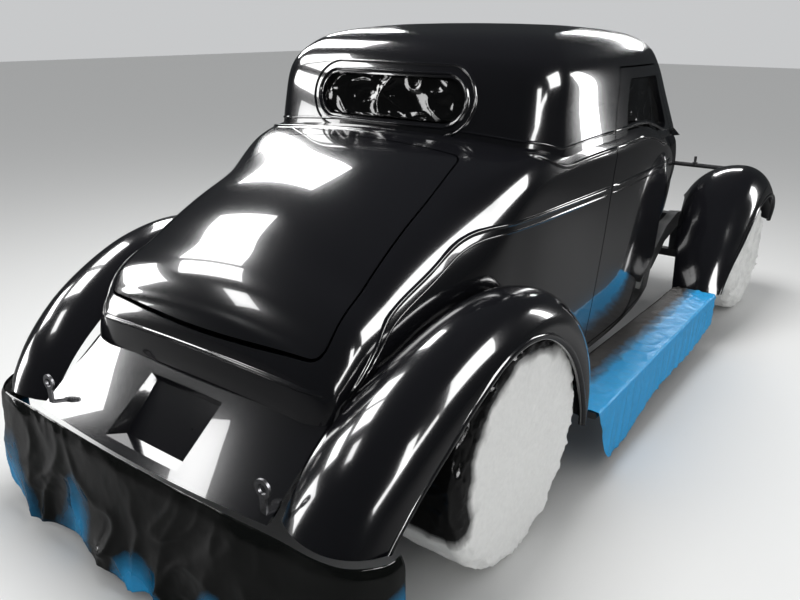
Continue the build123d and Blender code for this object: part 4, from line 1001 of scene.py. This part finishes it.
# A wheel's wrapping: the depths of the face's folds and of the shoulder's, the puff of the face, the
# share of the rim that was painted over, and the mist of paint on the rest
WRAP_LOOKS = {"rear": (6, 11, 4, 1.0, 0.0), "front": (20, 14, 6, 0.0, 0.15)}
WRAP_GAP = 2.0
WRAP_SHOULDER_R = 42.0
WRAP_SHOULDER_Y = 36.0
WRAP_RETURN_R = 46.0
WRAP_RETURN_Y = 5.0
WRAP_FOLD_MOST = 26.0
WRAP_PAINTED_DEG = 150
WRAP_GRAIN = 0.012
WRAP_FLOOR = 0.3
WRAP_AROUND = 260

# The running board's film, with its hem's height at places along the car
BOARD_HEM = [(524, 285), (575, 190), (640, 70), (760, 44), (1150, 104), (1900, 118), (2088, 150)]
BOARD_REAR_D = 526
BOARD_FRONT_D = 2086
BOARD_GATHER_D = 1820
BOARD_INNER_Y = 609
BOARD_OUTER_Y = 848
BOARD_TAPER = (BOARD_OUTER_Y - 806) / 1572
BOARD_TAPER_D = 520
BOARD_TOP_Z = 295.5
BOARD_FOLD_R = 7.0
BOARD_GRAIN = 0.011
BOARD_ROWS = 220
BOARD_COLUMNS = 60
BOARD_FLAT = 28
BOARD_BEND = 7

# The film under the tail: its route seen from above, and its hem's height at places across the car
SKIRT_LINE = [(-650, -856), (-706, -850), (-772, -788), (-796, -700), (-797, -560), (-808, -300), (-812, 0),
              (-808, 300), (-797, 560), (-796, 700), (-772, 788), (-706, 850), (-650, 856)]
SKIRT_HEM = [(-900, 190), (-790, 120), (-660, 34), (-300, 30), (0, 32), (300, 40), (560, 30), (790, 150),
             (900, 220)]
SKIRT_TOP_Z = 422
SKIRT_STEP = 9.0
SKIRT_ROWS = 62
SKIRT_CORNER_Y = 560
SKIRT_CORNER_RUN = 240
SKIRT_FOLD = 42
SKIRT_WAVE = 34
SKIRT_SPREAD = 22
SKIRT_TUCK = 9
SKIRT_MIDDLE = Vector((-300, 0))

WINDOW_RINGS = 44
WINDOW_SET_IN = 3
WINDOW_LEAN_LESS = 4
WINDOW_SLACK = 1.04
PANE_SET_IN = 20
SCREEN_OUT = Vector((0.86, 0, 0.5))


def ridged(p, octaves=4, gain=0.55, lacunarity=2.1):
    """Creased noise between 0 and 1, with sharp crests."""
    total, size, top = 0.0, 1.0, 0.0
    for _ in range(octaves):
        value = 1 - abs(noise.noise(p)) * 2.2
        total += size * max(0.0, value) ** 2
        top += size
        size *= gain
        p = p * lacunarity + Vector((7.3, 1.9, 4.7))
    return total / top


def thicken(piece):
    solid = piece.modifiers.new("thickness", "SOLIDIFY")
    solid.thickness = FILM_THICKNESS * MM
    solid.offset = 0


def sheet_piece(name, grid, spray, slot, node):
    """A sheet from rows of points."""
    verts = [p for row in grid for p in row]
    faces = [(a, a + 1, b + 1, b) for a, b in cells(len(grid), len(grid[0]))]
    piece = new_piece(name, verts, faces, "chassis", slot, spray)
    thicken(piece)
    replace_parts(piece, node)


def wrap_profile(radius, half, puff):
    """A wrapping's section, as (radius, width, zone): from the middle of the face round the shoulder
    and over the tread to the edge gathered behind."""
    rim = radius + WRAP_GAP
    face = half + WRAP_GAP
    flat_r = radius - WRAP_SHOULDER_R
    profile = [(flat_r * i / 26, face + puff * (1 - (i / 26) ** 2), "face") for i in range(26)]
    for i in range(11):
        a = math.radians(90 * i / 10)
        profile.append((flat_r + math.sin(a) * (WRAP_SHOULDER_R + WRAP_GAP),
                        face - (1 - math.cos(a)) * WRAP_SHOULDER_Y, "shoulder"))
    tread = 2 * half + WRAP_GAP - WRAP_SHOULDER_Y
    profile += [(rim, face - WRAP_SHOULDER_Y - tread * i / 24, "tread") for i in range(1, 24)]
    profile += [(rim - (WRAP_RETURN_R + WRAP_GAP) * i / 7, -face - WRAP_RETURN_Y * math.sin(math.pi * i / 7),
                 "behind") for i in range(1, 8)]
    return profile


def wheel_wrap(wheel, side, sign, seed):
    """The wrapping of one wheel: a smooth disc outside, crinkled film round the shoulder and the
    tread, and a gathered edge behind."""
    face_depth, band_depth, puff, painted, veil = WRAP_LOOKS[wheel]
    tyre = "%s_tyre_%s" % (wheel, side)
    low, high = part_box(tyre)
    centre = (low + high) / 2
    radius = (high.x - low.x) / 2 / MM
    half = (high.y - low.y) / 2 / MM
    profile = wrap_profile(radius, half, puff)
    shift = Vector((seed * 3.1, seed * 1.7, seed * 2.3))
    verts, spray = [], []
    for k in range(WRAP_AROUND):
        a = 2 * math.pi * k / WRAP_AROUND
        cos_a, sin_a = math.cos(a), math.sin(a)
        toward_rear = clamped((math.cos(a - math.radians(WRAP_PAINTED_DEG)) + 0.25) / 0.5)
        above = clamped((sin_a + 0.5) / 0.25)
        for r, y, zone in profile:
            base = Vector((cos_a * r, y, sin_a * r)) * WRAP_GRAIN + shift
            out_r, out_y = 0.0, 0.0
            if zone == "face":
                edge = clamped((r / radius - 0.6) / 0.3)
                pleat = ridged(Vector((cos_a * 7, sin_a * 7, r * 0.003)) + shift, 2)
                crumple = ridged(base * 0.9 + Vector((0.4 * noise.noise(base), 0, 0)), 3)
                out_y = face_depth * (0.3 + 0.6 * noise.noise(base * 0.45) + edge * (pleat - 0.35) * 0.8
                                      + 0.9 * (crumple - 0.3))
                out_y = min(max(out_y, -1.0), WRAP_FOLD_MOST)
                smear = 0.5 + noise.noise(base * 0.8)
                shade = 0.5 * edge * smear + 0.9 * max(0.0, (r / radius - 0.77) / 0.12)
                spray.append(painted * toward_rear * above * shade + veil)
            elif zone == "shoulder":
                knot = ridged(Vector((cos_a * 5, sin_a * 5, (r - y) * 0.018)) + shift, 3)
                out_y = band_depth * (knot - 0.35) * 1.5
                out_r = band_depth * max(0.0, knot - 0.4) * 0.5
                spray.append(painted * toward_rear * above * 1.25 + veil)
            else:
                if zone == "tread":
                    across = y * 0.004 + 0.35 * noise.noise(base)
                    pull = ridged(Vector((a * 5.5, across, 0.7)) + shift, 3)
                    out_r = band_depth * 0.8 * max(0.0, pull - 0.2)
                spray.append(painted * (1.25 * above - 0.35 * (1 - above)))
            spot = centre + Vector((cos_a * (r + out_r), sign * (y + out_y), sin_a * (r + out_r))) * MM
            spot.z = max(spot.z, WRAP_FLOOR * MM)
            verts.append(spot)
    faces = [(a, b, b + 1, a + 1) if sign < 0 else (a + 1, b + 1, b, a)
             for a, b in cells(WRAP_AROUND, len(profile), True)]
    piece = new_piece("%s_wrap_%s" % (wheel, side), verts, faces, "%s_wheel_%s" % (wheel, side),
                      "white_cover", spray)
    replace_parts(piece, "%s_wheel_cover_%s" % (wheel, side))


def board_sheet(side, sign):
    """Film laid over a running board and pulled down over its outer edge to a straight hem, painted
    over along the body."""
    grid, flat_grid, spray = [], [], []
    seed = Vector((2.0 * sign, 5.0, 1.0))
    fold_z = BOARD_TOP_Z - BOARD_FOLD_R
    bent = BOARD_FLAT + BOARD_BEND - 1
    loose = bent - 2
    for i in range(BOARD_ROWS):
        d = BOARD_REAR_D + (BOARD_FRONT_D - BOARD_REAR_D) * i / (BOARD_ROWS - 1)
        outer = BOARD_OUTER_Y - BOARD_TAPER * (d - BOARD_TAPER_D)
        drop = hermite(BOARD_HEM, d)[0]
        gathered = max(0.0, (d - BOARD_GATHER_D) / (BOARD_FRONT_D - BOARD_GATHER_D))
        row, flat_row, amounts = [], [], []
        for k in range(BOARD_COLUMNS):
            if k < BOARD_FLAT:
                y = BOARD_INNER_Y + (outer - BOARD_INNER_Y) * k / BOARD_FLAT
                z = BOARD_TOP_Z
                normal = Z_AXIS
            elif k < BOARD_FLAT + BOARD_BEND:
                a = math.radians(90 * (k - BOARD_FLAT) / BOARD_BEND)
                y = outer + BOARD_FOLD_R * math.sin(a)
                z = BOARD_TOP_Z - BOARD_FOLD_R * (1 - math.cos(a))
                normal = Vector((0, math.sin(a), math.cos(a)))
            else:
                y = outer + BOARD_FOLD_R
                z = fold_z - (fold_z - drop) * (k - bent) / (BOARD_COLUMNS - 1 - bent)
                normal = Y_AXIS
            base = Vector((d, y * sign, z)) * BOARD_GRAIN + seed
            hanging = max(0.0, (k - loose) / (BOARD_COLUMNS - 1 - loose))
            crease = ridged(base * 1.1)
            pulled = ridged(Vector((d * BOARD_GRAIN + hanging * 0.5, hanging * 0.25, 3.0 * sign)) + seed, 2)
            crumple = ridged(base * 2.6)
            depth = (4.5 * crease * (1 - hanging) + hanging * 9 * pulled
                     + gathered * 13 * crumple * (1 - 0.5 * hanging))
            inward = min(1.0, (y - BOARD_INNER_Y) / (outer - BOARD_INNER_Y))
            q = Vector((d, y, z)) + normal * max(0.0, depth)
            q.x += 2.5 * noise.noise(base * 1.4) * (1 - hanging)
            row.append(place(q.x, q.y * sign, max(q.z, 1.0)))
            flat_row.append(place(d, y * sign, z))
            amounts.append(1.4 - 2.1 * inward + 0.3 * (crease - 0.3) - 0.5 * hanging)
        grid.append(row[::sign])
        flat_grid.append(flat_row)
        spray += amounts[::sign]
    sheet_piece("board_sheet_" + side, grid, spray, "blue_film",
                "board_film_" + side)


def skirt_sheet():
    """Film that hangs from the lower edge of the pan and the fender tails in a few broad folds, its
    hem still blue where no paint reached it."""
    path = smooth_path(SKIRT_LINE, SKIRT_STEP)
    grid, flat_grid, spray = [], [], []
    for i, p in enumerate(path):
        before, after = path[max(0, i - 1)], path[min(len(path) - 1, i + 1)]
        along = (after - before).normalized()
        outward = Vector((-along.y, along.x))
        if outward.dot(p - SKIRT_MIDDLE) < 0:
            outward = -outward
        bottom = hermite(SKIRT_HEM, p.y)[0]
        corner = clamped((abs(p.y) - SKIRT_CORNER_Y) / SKIRT_CORNER_RUN)
        row, flat_row = [], []
        s = i * SKIRT_STEP
        for k in range(SKIRT_ROWS):
            t = k / (SKIRT_ROWS - 1)
            z = SKIRT_TOP_Z - (SKIRT_TOP_Z - bottom) * t
            base = Vector((p.x, p.y, z)) * 0.009
            tuck = SKIRT_TUCK * max(0.0, 1 - t * 11)
            swing = 0.9 * noise.noise(Vector((s * 0.002, t * 1.3, 4.0)))
            fold = ridged(Vector((s * 0.0034 + swing, t * 0.9, 1.7)), 2)
            crease = ridged(base * 1.3 + Vector((3, 1, 2)), 3)
            wide = noise.noise(Vector((s * 0.0035, t * 0.5, 9.0)))
            spread = SKIRT_FOLD * fold + SKIRT_WAVE * wide + SKIRT_SPREAD
            depth = t ** 0.75 * spread * (1 - 0.6 * corner) + (1 + 3 * t) * crease
            q = p + outward * (max(depth, 1.0) - tuck)
            flat_row.append(place(p.x, p.y, z))
            row.append(place(q.x, q.y, max(1.0, z + 3 * noise.noise(base * 2) * t)))
            patch = noise.noise(Vector((s * 0.006, t * 1.1, 2.0)))
            spray.append(1.75 - 1.3 * t - 0.75 * corner * t + 0.9 * patch)
        grid.append(row)
        flat_grid.append(flat_row)
    sheet_piece("tail_skirt_sheet", grid, spray, "dark_film",
                "tail_skirt")


def window_sheet(name, node, body, outline, place_of, seed, depth):
    """Crinkled film that fills a window. outline runs round the opening on a plane of its own, and
    place_of gives a place in the frame and the way out for a point of that plane."""
    count = len(outline)
    middle = sum(outline, Vector((0, 0))) / count
    shift = Vector((seed * 2.1, seed * 1.3, seed * 0.7))
    verts, flat = [], []
    for ring in range(1, WINDOW_RINGS + 1):
        share = ring / WINDOW_RINGS
        for p in outline:
            q = middle.lerp(p, share)
            spot, out = place_of(q)
            flat.append(spot)
            base = Vector((q.x * 0.0048, q.y * 0.0068, 0)) + shift
            stretch = ridged(base + Vector((0, 0, noise.noise(base * 0.8))), 2, 0.35)
            soft = noise.noise(base * 0.7)
            held = min(1.0, (1 - share) * 9)
            verts.append(spot + out * (depth * MM * held * (stretch - 0.3 + 0.5 * soft)))
    spot, _ = place_of(middle)
    verts.append(spot)
    flat.append(spot)
    faces = []
    for ring in range(WINDOW_RINGS - 1):
        a, b = ring * count, (ring + 1) * count
        for i in range(count):
            j = (i + 1) % count
            faces.append((a + i, b + i, b + j, a + j))
    faces += [(len(verts) - 1, i, (i + 1) % count) for i in range(count)]
    piece = new_piece(name, verts, faces, body, "black_film", [1.0] * len(verts))
    thicken(piece)

    def flat_size(k):
        """The film's size along the plane's first or second way, with a little slack."""
        ends = middle.copy(), middle.copy()
        ends[0][k] = min(p[k] for p in outline)
        ends[1][k] = max(p[k] for p in outline)
        return (place_of(ends[1])[0] - place_of(ends[0])[0]).length * WINDOW_SLACK

    flat_size(0)
    flat_size(1)
    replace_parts(piece, node)


def leaning_plane(node, way, out=None):
    """place_of for a window whose packed film leans, facing ahead where way is 1 and back where it
    is -1. The way out is square to that plane unless it is given."""
    low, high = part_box(node)
    run = high.x - low.x - WINDOW_LEAN_LESS * MM
    rise = high.z - low.z
    foot = (high.x if way > 0 else low.x) - way * WINDOW_SET_IN * MM
    if out is None:
        lean = math.atan2(run, rise)
        out = Vector((way * math.cos(lean), 0, math.sin(lean)))

    def place_of(q):
        share = (q.y * MM - low.z) / rise
        return Vector((foot - way * run * share, q.x * MM, q.y * MM)), out

    return place_of


def spread_outline(points, step):
    """A closed outline with points about a step apart."""
    out = []
    for a, b in zip(points, points[1:] + points[:1]):
        pieces = max(1, round((b - a).length / step))
        out += [a.lerp(b, i / pieces) for i in range(pieces)]
    return out


def window_sheets(roof_tree):
    """The films in the rear window, the windscreen and the doors' windows."""
    oval = [Vector(spot_of(p)[1:]) for p in oval_path(-1.5, 120)]
    window_sheet("rear_window_sheet", "rear_window_film", "chassis", oval,
                 leaning_plane("rear_window_film", -1), 1.0, 16)
    screen = spread_outline([p * 0.998 for p in grown(screen_outline(), -1.5)], 14)
    window_sheet("windscreen_sheet", "windscreen_film", "chassis", screen,
                 leaning_plane("windscreen_film", 1, SCREEN_OUT), 2.0, 8)
    pane = spread_outline(grown(DOOR_GLASS, -2.0), 12)
    for side, sign in SIDES:
        def door_place(q):
            hit, normal, _, _ = roof_tree.ray_cast(place(q.x, OUTSIDE * sign, q.y), Vector((0, -sign, 0)))
            if normal.y * sign < 0:
                normal = -normal
            return hit - normal * (PANE_SET_IN * MM), normal

        window_sheet("door_window_sheet_" + side, "door_window_film_" + side, "door_" + side, pane,
                     door_place, 3.0 + sign, 5)


# Lights, floor and camera

FLOOR_HALF = 30
CAMERA = {"place": (-1859, -1744, 1613), "yaw": 36.78, "pitch": -20.01, "roll": -0.32, "lens": 34.5}


def area_light(name, centre, long_way, size, radiance, target=(0.0, 0.0, 0.8), lights_floor=False):
    """A softbox facing a target, its first side along long_way. Places are in metres ahead of the
    rear axle, to the left and up. A softbox either lights the scene or only shows in the paint."""
    data = bpy.data.lights.new(name, "AREA")
    data.shape = "RECTANGLE"
    data.size, data.size_y = size
    data.energy = radiance * math.pi * size[0] * size[1]
    lamp = bpy.data.objects.new(name, data)
    bpy.context.scene.collection.objects.link(lamp)
    lamp.location = Vector(centre) + Vector((REAR_AXLE_X, 0, 0))
    back = (Vector(centre) - Vector(target)).normalized()
    first = Vector(long_way)
    first = (first - back * first.dot(back)).normalized()
    turn = Matrix((first, back.cross(first), back)).transposed()
    lamp.rotation_mode = "QUATERNION"
    lamp.rotation_quaternion = turn.to_quaternion()
    lamp.visible_diffuse = lights_floor
    lamp.visible_glossy = not lights_floor


def seen_or_mirrored(tree, seen, mirrored):
    """One colour as seen and as a light, another in what the paint mirrors."""
    path = add(tree, "ShaderNodeLightPath")
    return ramp(tree, path.outputs["Is Glossy Ray"], [(0.0, seen), (1.0, mirrored)])


def studio():
    mesh = bpy.data.meshes.new("floor")
    corners = [(x * FLOOR_HALF, y * FLOOR_HALF, 0) for x, y in ((-1, -1), (1, -1), (1, 1), (-1, 1))]
    mesh.from_pydata(corners, [], [(0, 1, 2, 3)])
    floor = bpy.data.objects.new("floor", mesh)
    bpy.context.scene.collection.objects.link(floor)
    made, tree, shader = material("pale_floor")
    shader.inputs["Roughness"].default_value = 0.65
    colour = seen_or_mirrored(tree, (0.74, 0.74, 0.73), (0.09, 0.09, 0.09))
    tree.links.new(colour, shader.inputs["Base Color"])
    mesh.materials.append(made)
    world = bpy.data.worlds.new("world")
    bpy.context.scene.world = world
    world.use_nodes = True
    tree = world.node_tree
    background = tree.nodes["Background"]
    sky = seen_or_mirrored(tree, (0.72, 0.73, 0.74), (0.035, 0.038, 0.04))
    tree.links.new(sky, background.inputs["Color"])
    background.inputs["Strength"].default_value = 0.8
    area_light("key", (1.2, 0.4, 4.4), (1, 0, 0), (3.4, 2.2), 9, lights_floor=True)
    area_light("deck_box", (1.64, 2.93, 3.24), (-0.25, -0.6, 0.75), (1.9, 0.75), 15, (0.0, 0.1, 1.1))
    for number, x in enumerate((-0.98, -0.03)):
        area_light("lid_box_%d" % number, (x, 3.03, 3.35), (-0.1, -0.5, 0.85), (1.15, 0.82), 14,
                   (-0.35, 0.05, 0.95))
    area_light("left_box", (-1.3, 3.9, 2.35), (1, 0, 0), (1.2, 0.7), 14, (-0.5, 0.4, 0.75))
    area_light("far_left_box", (-2.55, 2.95, 3.6), (1, 0, 0), (0.8, 0.5), 12, (-0.6, 0.6, 0.6))
    area_light("door_box", (-2.6, 4.8, 1.1), (1, 0, 0), (1.4, 1.6), 9, (-0.7, 0.0, 0.5))
    area_light("right_box", (0.9, -3.6, 3.4), (1, 0, 0), (2.0, 1.7), 14, (-0.1, -0.6, 0.9))
    area_light("right_rear_box", (-1.8, -3.65, 2.7), (0, 0, 1), (1.3, 0.7), 14, (0.45, -0.6, 1.35))
    area_light("fender_strip", (-1.5, -3.1, 1.8), (1, 0, 0.28), (2.6, 0.3), 14, (-0.5, -0.8, 0.65))
    area_light("right_front_box", (4.7, -2.75, 1.9), (0, 0, 1), (2.0, 0.45), 13, (0.6, -0.6, 1.3))
    area_light("front_box", (5.2, 0.5, 2.5), (0, 1, 0), (1.6, 0.4), 14, (1.0, -0.2, 1.55))
    area_light("front_left_box", (3.5, 3.0, 2.7), (0.6, -0.7, 0), (0.9, 0.45), 14, (0.6, 0.3, 1.55))
    bpy.context.scene.view_settings.view_transform = "Standard"


def camera():
    data = bpy.data.cameras.new("camera")
    data.sensor_width = 36
    data.lens = CAMERA["lens"]
    data.clip_end = 200
    eye = bpy.data.objects.new("camera", data)
    bpy.context.scene.collection.objects.link(eye)
    eye.location = place(*CAMERA["place"])
    yaw, pitch, roll = (math.radians(CAMERA[key]) for key in ("yaw", "pitch", "roll"))
    forward = Vector((math.cos(pitch) * math.cos(yaw), math.cos(pitch) * math.sin(yaw), math.sin(pitch)))
    eye.rotation_mode = "QUATERNION"
    turn = forward.to_track_quat("-Z", "Y")
    eye.rotation_quaternion = Quaternion(forward, roll) @ turn
    bpy.context.scene.camera = eye


camera()
studio()
dress_cad_nodes()
body_tree, door_skins = split_body()
roof_tree = split_roof(door_skins)
for side, sign in SIDES:
    fender_piece("rear", side, sign, REAR_FENDER, REAR_AXLE_X, REAR_AXLE_Z)
    fender_piece("front", side, sign, FRONT_FENDER, FRONT_AXLE_X, FRONT_AXLE_Z)
    wheel_wrap("rear", side, sign, 1.0 + sign)
    wheel_wrap("front", side, sign, 4.0 + sign)
    board_sheet(side, sign)
skirt_sheet()
window_sheets(roof_tree)
mouldings(body_tree, roof_tree)
